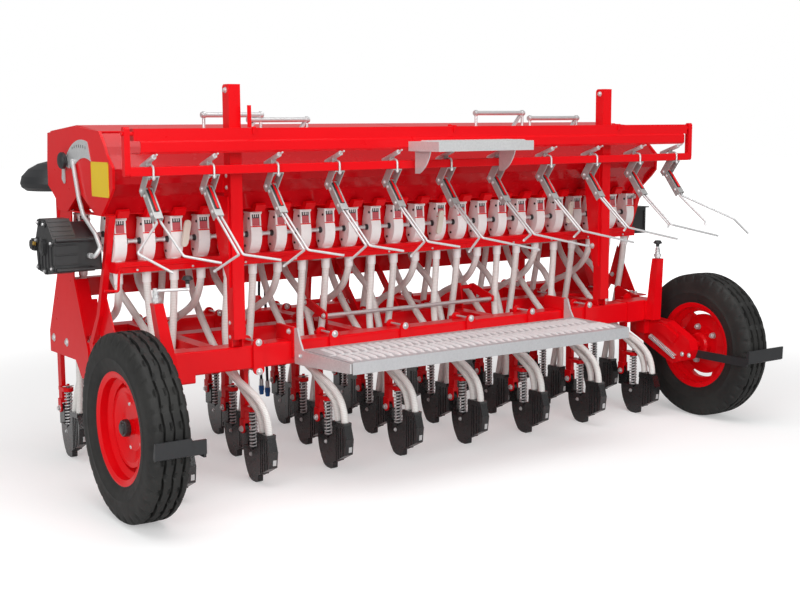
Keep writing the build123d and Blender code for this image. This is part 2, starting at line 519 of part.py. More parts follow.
# ---------------------------------------------------------------- wheels
DISH_R = 150.0               # ridge of the wheel disc
SLOT_IN = DISH_R + 5          # hand slots beyond the ridge
SLOT_OUT = 172.0
SLOT_ANGLE = 48.0
for side, name in ((-1, "left"), (1, "right")):
    x = side * WHEEL_X
    half = TYRE_WIDTH / 2
    wheel_plane = Plane(origin=(x, at(AXLE_STATION), TYRE_R), x_dir=(0, 0, 1), z_dir=(0, -1, 0))
    axis = Axis((x, at(AXLE_STATION), TYRE_R), (1, 0, 0))
    section = Polyline((BEAD_R, -53), (RIM_R + 1, -57), (RIM_R + 10, -72), (BEAD_R + 70, -half),
                       (TYRE_R - 62, -half),
                       (TYRE_R - 22, -72), (TYRE_R - 5, -56), (TYRE_R, -30), (TYRE_R, 30), (TYRE_R - 5, 56),
                       (TYRE_R - 22, 72), (TYRE_R - 62, half), (BEAD_R + 70, half), (RIM_R + 10, 72),
                       (RIM_R + 1, 57),
                       (BEAD_R, 53), close=True)
    keep("tyre_" + name, revolve(wheel_plane * make_face(section), axis))
    s = -side
    rim_line = Polyline((RIM_R, -66), (RIM_R, -58), (BEAD_R - GAP, -54), (BEAD_R - GAP, -24),
                        (BEAD_R - 22, -12),
                        (BEAD_R - 22, 14), (BEAD_R - GAP, 26), (BEAD_R - GAP, 54), (RIM_R, 58), (RIM_R, 66),
                        (RIM_R - 7, 66), (BEAD_R - 6, 60), (BEAD_R - 7, 30), (BEAD_R - 30, 16),
                        (BEAD_R - 30, -14),
                        (BEAD_R - 7, -26), (BEAD_R - 6, -60), (RIM_R - 7, -66), close=True)
    disc_line = Polyline((BEAD_R - 27, s * -12), (BEAD_R - 27, s * -2), (DISH_R + 4, s * 24),
                         (DISH_R - 14, s * 24),
                         (HUB_R + 30, s * 6), (AXLE_R + 0.05, s * 6), (AXLE_R + 0.05, s * -42),
                         (HUB_R - 12, s * -42),
                         (HUB_R, s * -34), (HUB_R, s * -4), (HUB_R + 34, s * -4), (DISH_R - 8, s * 14),
                         (DISH_R, s * 14),
                         close=True)
    disc = revolve(wheel_plane * make_face(disc_line), axis)
    slot_face = wheel_plane * make_face(Polyline((SLOT_IN, -40), (SLOT_OUT, -40), (SLOT_OUT, 40), (SLOT_IN, 40),
                                                 close=True))
    slot = revolve(slot_face, axis, SLOT_ANGLE)
    for turn in range(4):
        disc = disc - slot.rotate(axis, 90 * turn - SLOT_ANGLE / 2)
    keep("rim_" + name, revolve(wheel_plane * make_face(rim_line), axis) + disc)

ARM_IN = 1408.0
ARM_OUT = 1462.0
axle = rod_x(ARM_OUT - 4, WHEEL_X + 4, AXLE_STATION, TYRE_R, AXLE_R) + rod_x(WHEEL_X + 6 + GAP,
        WHEEL_X + 26, AXLE_STATION,
                                                                             TYRE_R, 30)
axle = axle + rod_x(WHEEL_X + 3, WHEEL_X + 12, AXLE_STATION, TYRE_R, AXLE_R)
arm_outline = [(200, 408), (200, 462), (150, BEAM_BOTTOM - 1), (15, BEAM_BOTTOM - 1), (-70, 488), (-171, 440),
               (-222, 410), (-236, 360), (-214, 310), (-160, 296), (-106, 276), (40, 340)]
arm = round_plate(arm_outline, 10, ARM_IN, ARM_OUT)
rib_outline = [(190, 430), (20, 486), (-60, 470), (-150, 425), (-120, 380), (-20, 430), (60, 410)]
arm = arm + round_plate(rib_outline, 8, ARM_IN - 8, ARM_IN + 1)
LEFT_SLEEVE_LOW = 466.0
arms = []
for side, under in ((-1, LEFT_SLEEVE_LOW - GAP), (1, BEAM_BOTTOM - SLEEVE - GAP)):
    whole = arm + axle if side > 0 else mirror(arm + axle, about=Plane.YZ)
    arms.append(whole + block(side * (ARM_IN - 40), side * (ARM_IN + 1), 55, 115, 415, under))
keep("wheel_arms", arms)

# depth towers lean outwards over a sleeve round the beam's end
TOWER_X = 1352.0
TOWER_LEAN = 46.0
TOWER_Z = 815.0


def leaning_tower():
    """Open tower: a rear plate that tapers upwards, with an outer side plate."""
    low = Plane(origin=(TOWER_X, at(-20), BEAM_BOTTOM + 5), z_dir=(0, 0, 1))
    high = Plane(origin=(TOWER_X + TOWER_LEAN, at(0), TOWER_Z), z_dir=(0, 0, 1))
    shape = loft([low * Rectangle(57, 54), high * Rectangle(40, 46)])
    hollow = loft([Plane(origin=(TOWER_X, at(-11), BEAM_BOTTOM - 5), z_dir=(0, 0, 1)) * Rectangle(47, 54),
                   Plane(origin=(TOWER_X + TOWER_LEAN, at(9), TOWER_Z - 14),
                         z_dir=(0, 0, 1)) * Rectangle(30, 46)])
    return shape - hollow


tower_right = leaning_tower()


def sleeve(x0, x1, z0):
    """Square sleeve round the rear beam."""
    outer = bar_x(x0, x1, BEAM_REAR - SLEEVE, BEAM_FRONT + SLEEVE_FRONT, z0, BEAM_TOP + SLEEVE_FRONT,
                  BEAM_CORNER)
    return outer - bar_x(x0 - 1, x1 + 1, BEAM_REAR - GAP, BEAM_FRONT + GAP, BEAM_BOTTOM - GAP,
                         BEAM_TOP + GAP, BEAM_CORNER)


cut = block(1200, 1500, BEAM_REAR - SLEEVE - 0.1, 400, 400, 900)
tower_body = tower_right - cut
foot_plate = block(TOWER_X - 28, TOWER_X + 29, BEAM_REAR - SLEEVE - 10, BEAM_REAR - SLEEVE + 1,
                   BEAM_BOTTOM + 5, BEAM_TOP)
shell = tower_body + foot_plate
left_shell = mirror(shell, about=Plane.YZ)
keep("depth_towers", [left_shell + sleeve(-ARM_IN + 8 + GAP, -1228, LEFT_SLEEVE_LOW),
                      shell + sleeve(1209, REAR_BEAM_HALF - 1, BEAM_BOTTOM - SLEEVE)])

SCREW_X = TOWER_X + TOWER_LEAN
screw = rod((SCREW_X, 0, TOWER_Z + 1.2), (SCREW_X + 1, 2, TOWER_Z + 34),
            13) + rod((SCREW_X + 1, 2, TOWER_Z + 30),
                                                                                 (SCREW_X + 3, 4,
                                                                                         TOWER_Z + 60), 9)
crank = rod((-SCREW_X - 2, 3, TOWER_Z + 50), (-SCREW_X + 130, -30, TOWER_Z + 50), 7) \
    + rod((-SCREW_X + 124, -28, TOWER_Z + 46), (-SCREW_X + 124, -28, TOWER_Z + 72), 7)
keep("depth_screws", [mirror(screw, about=Plane.YZ) + crank, screw])


def knob(x, station, z):
    """Mushroom knob."""
    stem = rod((x, station, z), (x, station, z + 18), 9)
    return stem + Pos(x, at(station), z + 25) * Cone(24, 15, 14) + Pos(x, at(station), z + 15) * Cone(10,
            24, 6)


keep("knobs", [knob(-SCREW_X + 124, -28, TOWER_Z + 72 + GAP), knob(SCREW_X + 3, 4, TOWER_Z + 61.2)])

SCRAPER_Z = 337.0
scraper = block(ARM_OUT + GAP, ARM_OUT + 10, SCRAPER_REAR + 12, -186, SCRAPER_Z - 20, SCRAPER_Z + 20)
scrapers = both(scraper)
for side, inner, outer in ((-1, 1523.0, 1666.0), (1, ARM_OUT + GAP, WHEEL_X + 140)):
    blade = side_plate([(SCRAPER_REAR + 14, SCRAPER_Z - 8), (SCRAPER_REAR + 2, SCRAPER_Z - 2),
                        (SCRAPER_REAR, SCRAPER_Z + 60), (SCRAPER_REAR + 8, SCRAPER_Z + 60),
                        (SCRAPER_REAR + 22, SCRAPER_Z + 6)], side * inner, side * outer)
    link = block(side * (ARM_OUT + GAP), side * (inner + 8), SCRAPER_REAR + 6, SCRAPER_REAR + 18, SCRAPER_Z - 6,
                 SCRAPER_Z + 48)
    which = 0 if side > 0 else 1
    scrapers[which] = scrapers[which] + blade + link
keep("scrapers", scrapers)

# ---------------------------------------------------------------- footboard and step
deck = block(-DECK_HALF, DECK_HALF, DECK_REAR, DECK_FRONT, DECK_TOP - DECK_LIP, DECK_TOP)
deck = deck - block(-DECK_HALF - 1, DECK_HALF + 1, DECK_REAR + 4, DECK_FRONT + 1, DECK_TOP - DECK_LIP - 1,
                    DECK_TOP - 4)
keep("footboard", deck)
NECK = 8.0
bracket = round_plate([(DECK_REAR + 8, DECK_TOP - DECK_LIP + 4), (-120, DECK_TOP - DECK_LIP - 18),
                       (-40, BEAM_BOTTOM + 4), (BEAM_REAR - 18 - GAP, BEAM_BOTTOM + 4),
                       (BEAM_REAR - 18 - GAP, BEAM_TOP + 58), (BEAM_REAR - 42, BEAM_TOP + 62),
                       (-36, BEAM_TOP + 10),
                       (-62, DECK_TOP - 5), (DECK_REAR + 8, DECK_TOP - 5)], 3, HOOK_X, HOOK_X + NECK)
inner_wing = side_plate([(DECK_REAR + 20, DECK_TOP - 4 - GAP), (DECK_FRONT, DECK_TOP - 4 - GAP),
                         (DECK_FRONT, DECK_TOP - 40), (DECK_REAR + 20, DECK_TOP - 22)], DECK_HALF - 24,
                         DECK_HALF - 18)
tie = block(DECK_HALF - 20, HOOK_X + 1, -200, -120, DECK_TOP - 34, DECK_TOP - 28)
keep("footboard_brackets", both(bracket + inner_wing + tie))

step = block(STEP_LEFT, STEP_RIGHT, STEP_REAR, SHELF_REAR - GAP, STEP_TOP - STEP_LIP, STEP_TOP)
step = step - block(STEP_LEFT + 4, STEP_RIGHT - 4, STEP_REAR + 4, SHELF_REAR + 1, STEP_TOP - STEP_LIP - 1,
                    STEP_TOP - 4)
keep("upper_step", step)
step_bracket = side_face(Wire([
    Line((at(SHELF_REAR - 4.6), STEP_TOP - 4.3), (at(SHELF_REAR - 4.6), 1300)),
    Line((at(SHELF_REAR - 4.6), 1300), (at(SHELF_REAR - 34), 1300)),
    ThreePointArc((at(SHELF_REAR - 34), 1300), (at(SHELF_REAR - 96), 1350),
                  (at(SHELF_REAR - 118), STEP_TOP - 44)),
    Line((at(SHELF_REAR - 118), STEP_TOP - 44), (at(SHELF_REAR - 118), STEP_TOP - 4.3)),
    Line((at(SHELF_REAR - 118), STEP_TOP - 4.3), (at(SHELF_REAR - 4.6), STEP_TOP - 4.3))]), 0, 5)
wing = block(-26, 5, SHELF_REAR - 4.6, SHELF_REAR - GAP, SHELF_BOTTOM + 4, SHELF_BOTTOM + 30)
keep("step_brackets", [Pos(x, 0, 0) * (step_bracket + wing) for x in (STEP_LEFT + 32, STEP_RIGHT - 20)])

# ---------------------------------------------------------------- following harrow, stored up
HARROW_FRONT = HARROW_REAR + HARROW_TUBE
HARROW_TOP = HARROW_BOTTOM + HARROW_TUBE
harrow = bar_x(-HARROW_X + HARROW_ARM / 2, HARROW_X - HARROW_ARM / 2, HARROW_REAR, HARROW_FRONT,
               HARROW_BOTTOM, HARROW_TOP, 4)
harrow_end = round_plate([(HARROW_REAR, HARROW_BOTTOM), (HARROW_REAR + 26, HARROW_BOTTOM),
                          (HARROW_REAR + 26, PIN_Z + 26),
                          (HARROW_REAR, PIN_Z + 26)], 12, HARROW_X - HARROW_ARM / 2, HARROW_X + HARROW_ARM / 2)
harrow_end = harrow_end - rod_x(HARROW_X - 13, HARROW_X + 13, HARROW_REAR + 12.5, PIN_Z, 8.05)
for piece in both(harrow_end):
    harrow = harrow + piece
keep("harrow_frame", harrow)

HOLDER_TOP = (-24.0, 1262.0)     # station and height of the holder's pivot
HOLDER_LOW = (-118.0, 1152.0)
holders = []
tines = []
LEFT_TIPS = [(124, -38, -78)] + [(-194, -180, -34)] * 5 + [(-125, -100, -13)] * 2 + [(-60, -50, -6)] * 2 \
    + [(-1, -5, -22)]
RIGHT_TIPS = [(143, -26, -33)] + [(155, -20, -30)] * 4 + [(310, -20, -70)] * 5 + [(88, -20, -77)]
for x, left_tip, right_tip in zip(TINE_XS, LEFT_TIPS, RIGHT_TIPS):
    saddle = block(x - 24, x + 24, HARROW_REAR - 6, HARROW_FRONT + 8, HARROW_BOTTOM - 4 - GAP,
                   HARROW_BOTTOM - GAP)
    cheek = side_plate([(HARROW_REAR - 6, HARROW_BOTTOM - 2), (HARROW_FRONT + 8, HARROW_BOTTOM - 2),
                        (4, 1262), (-16, 1240),
                        (-40, 1256)], x - 24, x - 20)
    holder = side_plate([(HOLDER_TOP[0] - 6, HOLDER_TOP[1] + 14), (HOLDER_TOP[0] + 16, HOLDER_TOP[1] - 4),
                         (HOLDER_LOW[0] + 14, HOLDER_LOW[1] - 12),
                         (HOLDER_LOW[0] - 10, HOLDER_LOW[1] + 10)], x - 18, x + 18)
    mouth = side_plate([(-60, 1214), (-44, 1196), (HOLDER_LOW[0] + 6, HOLDER_LOW[1] - 30),
                        (HOLDER_LOW[0] - 30, HOLDER_LOW[1] - 6)],
                       x - 14, x + 14)
    pivot = rod_x(x - 24, x + 24, HOLDER_TOP[0] + 4, HOLDER_TOP[1] + 2, 6)
    strap = block(x - 12, x + 12, HARROW_FRONT + GAP, HARROW_FRONT + 6, HARROW_BOTTOM - 4 - GAP,
                  HARROW_TOP + 16)
    stay = rod((x, HARROW_FRONT + 60, HARROW_TOP + 2), (x, HARROW_FRONT - 34, HARROW_TOP + 32), 9) \
        + rod((x, HARROW_FRONT - 30, HARROW_TOP + 31), (x, HARROW_FRONT - 52, HARROW_TOP + 38), 3.5)
    cheeks = cheek + mirror(cheek, about=Plane.YZ.offset(x))
    holders.append(saddle + cheeks + (holder - mouth) + pivot + strap + stay)
    for spread, tip in ((-1, left_tip), (1, right_tip)):
        wire = [(x + spread * 8.7, -100, 1172)]
        bend = (x + spread * 8.7, -300, 1020)
        if x in (TINE_XS[0], TINE_XS[-1]):
            wire.append((x + spread * 9, -124, 1144))
        if x == TINE_XS[0]:
            bend = (x - 150, -262, 1046) if spread < 0 else (x + 22, -292, 1028)
        elif x == TINE_XS[-1]:
            bend = (x - 13, -300, 1026) if spread < 0 else (x + 198, -300, 1027)
        wire += [bend, (bend[0] + tip[0], bend[1] + tip[1], bend[2] + tip[2])]
        tines.append(bent(wire, TINE_R, 10))
keep("tine_holders", holders)
keep("harrow_tines", tines)

# ---------------------------------------------------------------- row markers
for side, name in ((-1, "left"), (1, "right")):
    base = (side * MARKER_X, MARKER_STATION, MARKER_PIVOT_Z)
    tip = (side * MARKER_X, MARKER_STATION, MARKER_TIP_Z)
    arm = rod(base, tip, 22) + rod((base[0], base[1] - 30, base[2]), (base[0], base[1] + 30, base[2]), 28)
    arm = arm - rod((base[0], base[1] - 31, base[2]), (base[0], base[1] + 31, base[2]), 12.05)
    keep("marker_arm_" + name, arm)
    dome_plane = Plane(origin=(tip[0], at(tip[1]), tip[2] + GAP), x_dir=(1, 0, 0), z_dir=(0, -1, 0))
    disc_face = make_face(Polyline((0, 0), (150, 0), (172, 16), (MARKER_DISC_R, 34), (170, 66), (140, 98),
                                   (96, 122), (48, 134), (0, 138), close=True))
    disc = revolve(dome_plane * disc_face, Axis((tip[0], at(tip[1]), tip[2]), (0, 0, 1)))
    keep("marker_disc_" + name, disc)
hanger = block(MARKER_X - 18, MARKER_X + 18, FRONT_FACE + GAP, FRONT_FACE + 20, BEAM_BOTTOM, BEAM_TOP)
pin = rod((MARKER_X, FRONT_FACE + 20, MARKER_PIVOT_Z), (MARKER_X, MARKER_STATION + 40, MARKER_PIVOT_Z), 12)
keep("marker_hangers", both(hanger + pin))

# ---------------------------------------------------------------- drives
box_out = HOPPER_HALF + END_SHEET
DRIVE_OUT = box_out + 188
case = side_plate([(300, 930), (300, 1052), (392, 1140), (470, 1140), (512, 1066), (512, 1000), (500, 926),
                   (396, 914)],
                  -DRIVE_OUT, -box_out - 88)
neck = side_plate([(318, 930), (318, 1060), (480, 1120), (500, 940)], -box_out - 89, -LONG_BEAM_HALF)
for z in (938, 1060):
    case = case + rod_x(-DRIVE_OUT + 6, -box_out - 24, 295, z, 9)
    case = case + block(-box_out - 34, -box_out - 24, 295, 330, z - 9, z + 9)
boss = rod_x(-DRIVE_OUT - 10, -DRIVE_OUT + 1, 420, 1025, 34) + rod_x(-DRIVE_OUT - 18, -DRIVE_OUT - 9, 530,
        1030, 20)
boss = boss + block(-DRIVE_OUT - 12, -DRIVE_OUT + 40, 500, 540, 1005, 1055)
small_box = block(LONG_BEAM_HALF, box_out + 96, 300, 470, 918, 1056) - block(box_out + 12, box_out + 84,
        299, 306, 930, 1040)
bracket_top = block(LONG_BEAM_HALF, box_out + 112, 290, 480, 1056, 1062)
keep("drive_boxes", [case + neck + boss, small_box + bracket_top])

QUADRANT_X = HOPPER_HALF + END_SHEET + GAP
quadrant = side_face(Wire([
    Line((at(640), 1380), (at(560), 1330)),
    ThreePointArc((at(560), 1330), (at(452), 1382), (at(350), 1372)),
    Line((at(350), 1372), (at(380), 1450)),
    ThreePointArc((at(380), 1450), (at(550), 1440), (at(640), 1380))]), -QUADRANT_X, -QUADRANT_X - 3)
pointer = side_plate([(600, 1352), (610, 1386), (668, 1402), (690, 1290), (664, 1270), (652, 1276),
                      (650, 1345), (590, 1338)],
                     -QUADRANT_X - 5, -QUADRANT_X - 1)
conduit = bent([(-QUADRANT_X - 10, 535, 1374), (-QUADRANT_X - 12, 470, 1209), (-QUADRANT_X - 12, 425, 1144),
                (-QUADRANT_X - 12, 300, 1078), (-QUADRANT_X - 12, 250, 1025), (-QUADRANT_X - 34, 256, 990),
                (-QUADRANT_X - 34, 317.7, 990)], 9, [40, 40, 30, 18, 18])
conduit = conduit + rod_x(-QUADRANT_X - 1, -QUADRANT_X - 18, 535, 1368, 10)
keep("rate_lever", quadrant + pointer + conduit)

# ---------------------------------------------------------------- levers, tie rod and drop-hose bracket
LEVER_X = 480.0
PEDESTAL_X = RAIL_XS[2] + 18
lever = round_plate([(216, 640), (244, 638), (404, 684), (406, 712), (378, 718), (214, 670)], 8,
                    LEVER_X - 5, LEVER_X + 5)
pedestal = side_plate([(350, BEAM_TOP + GAP), (430, BEAM_TOP + GAP), (406, 724), (374, 724)], PEDESTAL_X,
                      PEDESTAL_X + 8)
pivot = rod_x(PEDESTAL_X + 4, LEVER_X + 10, 390, 700, 10)
keep("press_levers", both(lever + pedestal + pivot))
keep("tie_rod", rod_x(-LEVER_X + 5.3, LEVER_X - 5.3, 230, 655, 9))

# ---------------------------------------------------------------- hydraulic hoses for the markers
HYD_R = 7.0
for name, across, rise, bottom in (("rear", -361.0, 14.0, 212.0), ("front", -381.0, -14.0, 220.0)):
    x0 = -PORT_OUT - GAP
    s = FRONT_FACE + 26 - rise
    route = [(x0, s, PORT_Z + rise), (x0 - 50, s, PORT_Z + rise), (across + 62, s + 2, PORT_Z + rise - 14),
             (across + 4, s + 6, PORT_Z - 105), (across - 5, s + 10, 660), (across + 4, s + 8, 512),
             (across - 3, s + 12, 362), (across, s + 9, bottom)]
    keep("hydraulic_hose_" + name, bent(route, HYD_R, [60, 75, 75, 100, 100, 100]))
    coupling = rod((across, s + 9, bottom - GAP), (across, s + 9, bottom - 36), 11) \
        + rod((across, s + 9, bottom - 34), (across, s + 9, bottom - 82), 14)
    keep("coupling_" + name, coupling)

os.makedirs("parts", exist_ok=True)
for name, shape in parts.items():
    export_step(shape, "parts/" + name + ".step")
print(len(parts), "nodes; origin station", ORIGIN_STATION)
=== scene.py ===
import json

import bpy
import numpy as np
from mathutils import Matrix, Vector


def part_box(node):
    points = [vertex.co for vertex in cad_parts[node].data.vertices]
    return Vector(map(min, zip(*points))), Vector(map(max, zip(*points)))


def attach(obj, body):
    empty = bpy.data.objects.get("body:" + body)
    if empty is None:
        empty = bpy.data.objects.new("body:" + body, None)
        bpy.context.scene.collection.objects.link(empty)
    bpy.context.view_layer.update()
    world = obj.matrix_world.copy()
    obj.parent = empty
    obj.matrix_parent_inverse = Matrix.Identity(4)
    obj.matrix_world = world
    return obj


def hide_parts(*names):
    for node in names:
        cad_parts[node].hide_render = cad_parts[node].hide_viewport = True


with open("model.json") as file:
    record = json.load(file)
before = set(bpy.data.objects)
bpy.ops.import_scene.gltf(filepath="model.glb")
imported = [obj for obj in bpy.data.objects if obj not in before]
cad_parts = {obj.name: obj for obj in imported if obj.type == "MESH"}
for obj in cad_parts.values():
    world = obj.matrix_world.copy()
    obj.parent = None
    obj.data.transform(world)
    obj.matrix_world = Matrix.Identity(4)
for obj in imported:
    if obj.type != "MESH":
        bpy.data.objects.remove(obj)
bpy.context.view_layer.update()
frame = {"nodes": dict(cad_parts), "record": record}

# Millimetres below, as in the part's source: x to the right, station forward of the rear coulter
# tips, z up.  metres() turns such points into the frame's metres.
ROWS = 24
ROW_PITCH = 125.0
RANK_STEP = 434.0
BEAM_REAR = 25.0
BEAM_FRONT = 125.0
BEAM_TOP = 597.0
SEED_STATION = 290.0
FERTILISER_STATION = 690.0
METER_TOP = 1140.0
SPOUT_END = 900.0
HOSE_R = 16.0
TINE_XS = (-1430, -1172, -882, -588, -294, 0, 294, 588, 882, 1172, 1430)
TOWER_ROWS = (1, ROWS - 2)
WHEEL_X = 1576.0
AXLE_STATION = -162.0
TYRE_R = 370.0
TAU = 2 * np.pi
UNIT = 1000.0                # millimetres in a metre
STATION_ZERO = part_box("rear_beam")[0][1] * UNIT - BEAM_REAR

LEFT, RIGHT, FORWARD, BACK, UP, DOWN = (
    np.array(v, float) for v in ((-1, 0, 0), (1, 0, 0), (0, 1, 0), (0, -1, 0), (0, 0, 1), (0, 0, -1)))


def row_x(row):
    return (row - (ROWS - 1) / 2) * ROW_PITCH


def rank_of(row):
    return (2, 0, 1)[row % 3]


def metres(points):
    """Points of (x, station, z) in millimetres as points of the frame in metres."""
    return (np.asarray(points, float) + (0.0, STATION_ZERO, 0.0)) / UNIT


# ---------------------------------------------------------------- surfaces
def skin(rings, loop=False):
    """Closed surface over rings of points: point (i, j) is the j-th point of ring i, and each cell of
    that grid is a face.  A loop's last ring meets its first; otherwise both ends get a flat cap."""
    count, around = rings.shape[:2]
    i, j = np.meshgrid(np.arange(count if loop else count - 1), np.arange(around), indexing="ij")
    i2, j2 = (i + 1) % count, (j + 1) % around
    cells = np.stack([i * around + j, i * around + j2, i2 * around + j2, i2 * around + j], -1)
    caps = [] if loop else [list(range(around))[::-1], [(count - 1) * around + n for n in range(around)]]
    return rings.reshape(-1, 3), cells.reshape(-1, 4).tolist() + caps


def across(path, lean):
    """Two unit vectors square to a path's own direction at each of its points: the first is also
    square to lean."""
    way = np.gradient(path, axis=0)
    way /= np.linalg.norm(way, axis=1, keepdims=True)
    side = np.cross(way, lean)
    side /= np.linalg.norm(side, axis=1, keepdims=True)
    return side, np.cross(way, side)


def tube(path, radius, sides=10, lean=RIGHT):
    """Round bar: at each path point a circle of the radius, cos(a) along one square direction and
    sin(a) along the other.  The radius may change along the path."""
    path = np.asarray(path, float)
    side, lift = across(path, lean)
    angle = np.arange(sides) * TAU / sides
    reach = np.broadcast_to(np.asarray(radius, float), len(path))[:, None, None]
    ring = np.cos(angle)[None, :, None] * side[:, None] + np.sin(angle)[None, :, None] * lift[:, None]
    return skin(path[:, None] + reach * ring)


def turned(centre, axis, profile, sides=24, hexagonal=False):
    """Turned body: each (distance along the axis, radius) of the profile is a ring about the axis.
    A hexagonal body's radius grows by 1 / cos of the angle from the nearest flat's middle."""
    axis = np.asarray(axis, float) / np.linalg.norm(axis)
    lean = UP if abs(axis[2]) < 0.9 else RIGHT
    side = np.cross(axis, lean)
    side /= np.linalg.norm(side)
    lift = np.cross(axis, side)
    angle = np.arange(sides) * TAU / sides
    rings = []
    for reach, radius, *kind in profile:
        flat = 1 / np.cos((angle % (TAU / 6)) - TAU / 12) if (kind and kind[0]) else np.ones(sides)
        rings.append(centre + axis * reach + radius * flat[:, None] *
                     (np.cos(angle)[:, None] * side + np.sin(angle)[:, None] * lift))
    return skin(np.array(rings))


def prism(outline, x0, x1):
    """Plate with a (station, z) outline between two x: the outline is carried straight along x."""
    outline = np.asarray(outline, float)
    turn = np.roll(outline, -1, 0)
    if (outline[:, 0] * turn[:, 1] - turn[:, 0] * outline[:, 1]).sum() < 0:
        outline = outline[::-1]
    low, high = min(x0, x1), max(x0, x1)
    return skin(np.array([np.column_stack([np.full(len(outline), x), outline]) for x in (low, high)]))


def slab(x0, x1, s0, s1, z0, z1, corner=1.5):
    """Box whose edges along x are cut at the corner size."""
    c = corner
    return prism([(s0 + c, z0), (s1 - c, z0), (s1, z0 + c), (s1, z1 - c), (s1 - c, z1), (s0 + c, z1),
                  (s0, z1 - c), (s0, z0 + c)], x0, x1)


def panel(outline, s0, s1):
    """Plate with an (x, z) outline between two stations: the outline is carried straight forwards."""
    outline = np.asarray(outline, float)
    turn = np.roll(outline, -1, 0)
    if (outline[:, 0] * turn[:, 1] - turn[:, 0] * outline[:, 1]).sum() > 0:
        outline = outline[::-1]
    return skin(np.array([np.column_stack([outline[:, 0], np.full(len(outline), s), outline[:, 1]])
                          for s in (s0, s1)]))


def bolt(centre, axis, flats=17.0, washer=True):
    """Hexagon head with a chamfered crown, on a round washer."""
    r, h = flats / 2, flats * 0.62
    rings = [(0, r * 1.5), (1.8, r * 1.5)] if washer else [(0, r, True)]
    return turned(centre, axis, rings + [(2.0 if washer else 0.2, r, True), (h * 0.8, r, True),
                                         (h, r * 0.82)], sides=12)


def dome_bolt(centre, axis, radius=12.0):
    """Round head: the radius falls with height as a quarter circle does."""
    turn = np.linspace(0, 0.92, 5) * TAU / 4
    rings = [(0, radius * 1.35), (2.0, radius * 1.35)]
    crown = [(2.2 + radius * 0.6 * np.sin(a), radius * np.cos(a)) for a in turn]
    return turned(centre, axis, rings + crown, 14)


def helix(low, high, radius, turns, wire, sides=6, steps=14, spread=0.04):
    """Coil spring between two points: the wire's middle goes round the axis at the radius while it
    climbs, and the end turns lie flat."""
    low, high = np.asarray(low, float), np.asarray(high, float)
    axis = (high - low) / np.linalg.norm(high - low)
    side = np.cross(axis, RIGHT if abs(axis[0]) < 0.9 else UP)
    side /= np.linalg.norm(side)
    lift = np.cross(axis, side)
    t = np.linspace(0, 1, int(turns * steps) + 1)
    climb = np.clip((t - spread) / (1 - 2 * spread), 0, 1)
    angle = t * turns * TAU
    path = (low + climb[:, None] * (high - low) + radius * (np.cos(angle)[:, None] * side
                                                           + np.sin(angle)[:, None] * lift))
    return tube(path, wire, sides, lean=axis)


def smooth_path(points, per_run=8):
    """Quadratic B-spline with these control points and its ends on the first and last: between the
    middles of neighbouring runs it is the parabola that both runs touch."""
    points = np.asarray(points, float)
    middles = (points[:-1] + points[1:]) / 2
    starts = np.vstack([points[:1], middles[1:]])
    ends = np.vstack([middles[:-1], points[-1:]])
    starts, ends = starts[:len(points) - 2], ends[1:]
    starts[0] = points[0]
    t = np.linspace(0, 1, per_run + 1)[:, None]
    runs = [(1 - t) ** 2 * a + 2 * t * (1 - t) * p + t ** 2 * b
            for a, p, b in zip(starts, points[1:-1], ends)]
    return np.vstack([runs[0]] + [run[1:] for run in runs[1:]])


def rounded(points, bend, steps=5):
    """Path of straight runs whose corners are each replaced by a short curve that starts and ends
    the bend's length from the corner."""
    points = np.asarray(points, float)
    t = np.linspace(0, 1, steps)[:, None]
    path = [points[:1]]
    for a, p, b in zip(points[:-2], points[1:-1], points[2:]):
        first = p + (a - p) / np.linalg.norm(a - p) * bend
        last = p + (b - p) / np.linalg.norm(b - p) * bend
        path.append((1 - t) ** 2 * first + 2 * t * (1 - t) * p + t ** 2 * last)
    return np.vstack(path + [points[-1:]])


def piece(name, bodies, material, body="frame", smooth=None, uv=None):
    """One piece from closed surfaces: their points and faces are joined, put in metres and kept with
    the object at the origin."""
    points, faces, start = [], [], 0
    for body_points, body_faces in bodies:
        points.append(body_points)
        faces += [[n + start for n in face] for face in body_faces]
        start += len(body_points)
    mesh = bpy.data.meshes.new(name)
    mesh.from_pydata(metres(np.vstack(points)).tolist(), [], faces)
    mesh.update()
    if smooth is not None:
        mesh.polygons.foreach_set("use_smooth", [True] * len(mesh.polygons))
        mesh.set_sharp_from_angle(angle=np.radians(smooth))
    if uv is not None:
        layer = mesh.uv_layers.new(name="UVMap")
        corners = np.empty(len(mesh.loops), int)
        mesh.loops.foreach_get("vertex_index", corners)
        layer.data.foreach_set("uv", np.asarray(uv, float)[corners].ravel())
    mesh.materials.append(material)
    made = bpy.data.objects.new(name, mesh)
    bpy.context.scene.collection.objects.link(made)
    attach(made, body)
    return made


# ---------------------------------------------------------------- shader values
class Value:
    """An output socket of one material; + - * / ** with numbers or other values add Math nodes."""

    def __init__(self, finish, socket):
        self.finish = finish
        self.socket = socket

    def _math(self, operation, first, second):
        return self.finish.node("ShaderNodeMath", {"operation": operation}, {0: first, 1: second})

    def __add__(self, other):
        return self._math("ADD", self, other)

    def __sub__(self, other):
        return self._math("SUBTRACT", self, other)

    def __rsub__(self, other):
        return self._math("SUBTRACT", other, self)

    def __mul__(self, other):
        return self._math("MULTIPLY", self, other)

    def __truediv__(self, other):
        return self._math("DIVIDE", self, other)

    def __rtruediv__(self, other):
        return self._math("DIVIDE", other, self)

    def __pow__(self, other):
        return self._math("POWER", self, other)

    __radd__ = __add__
    __rmul__ = __mul__


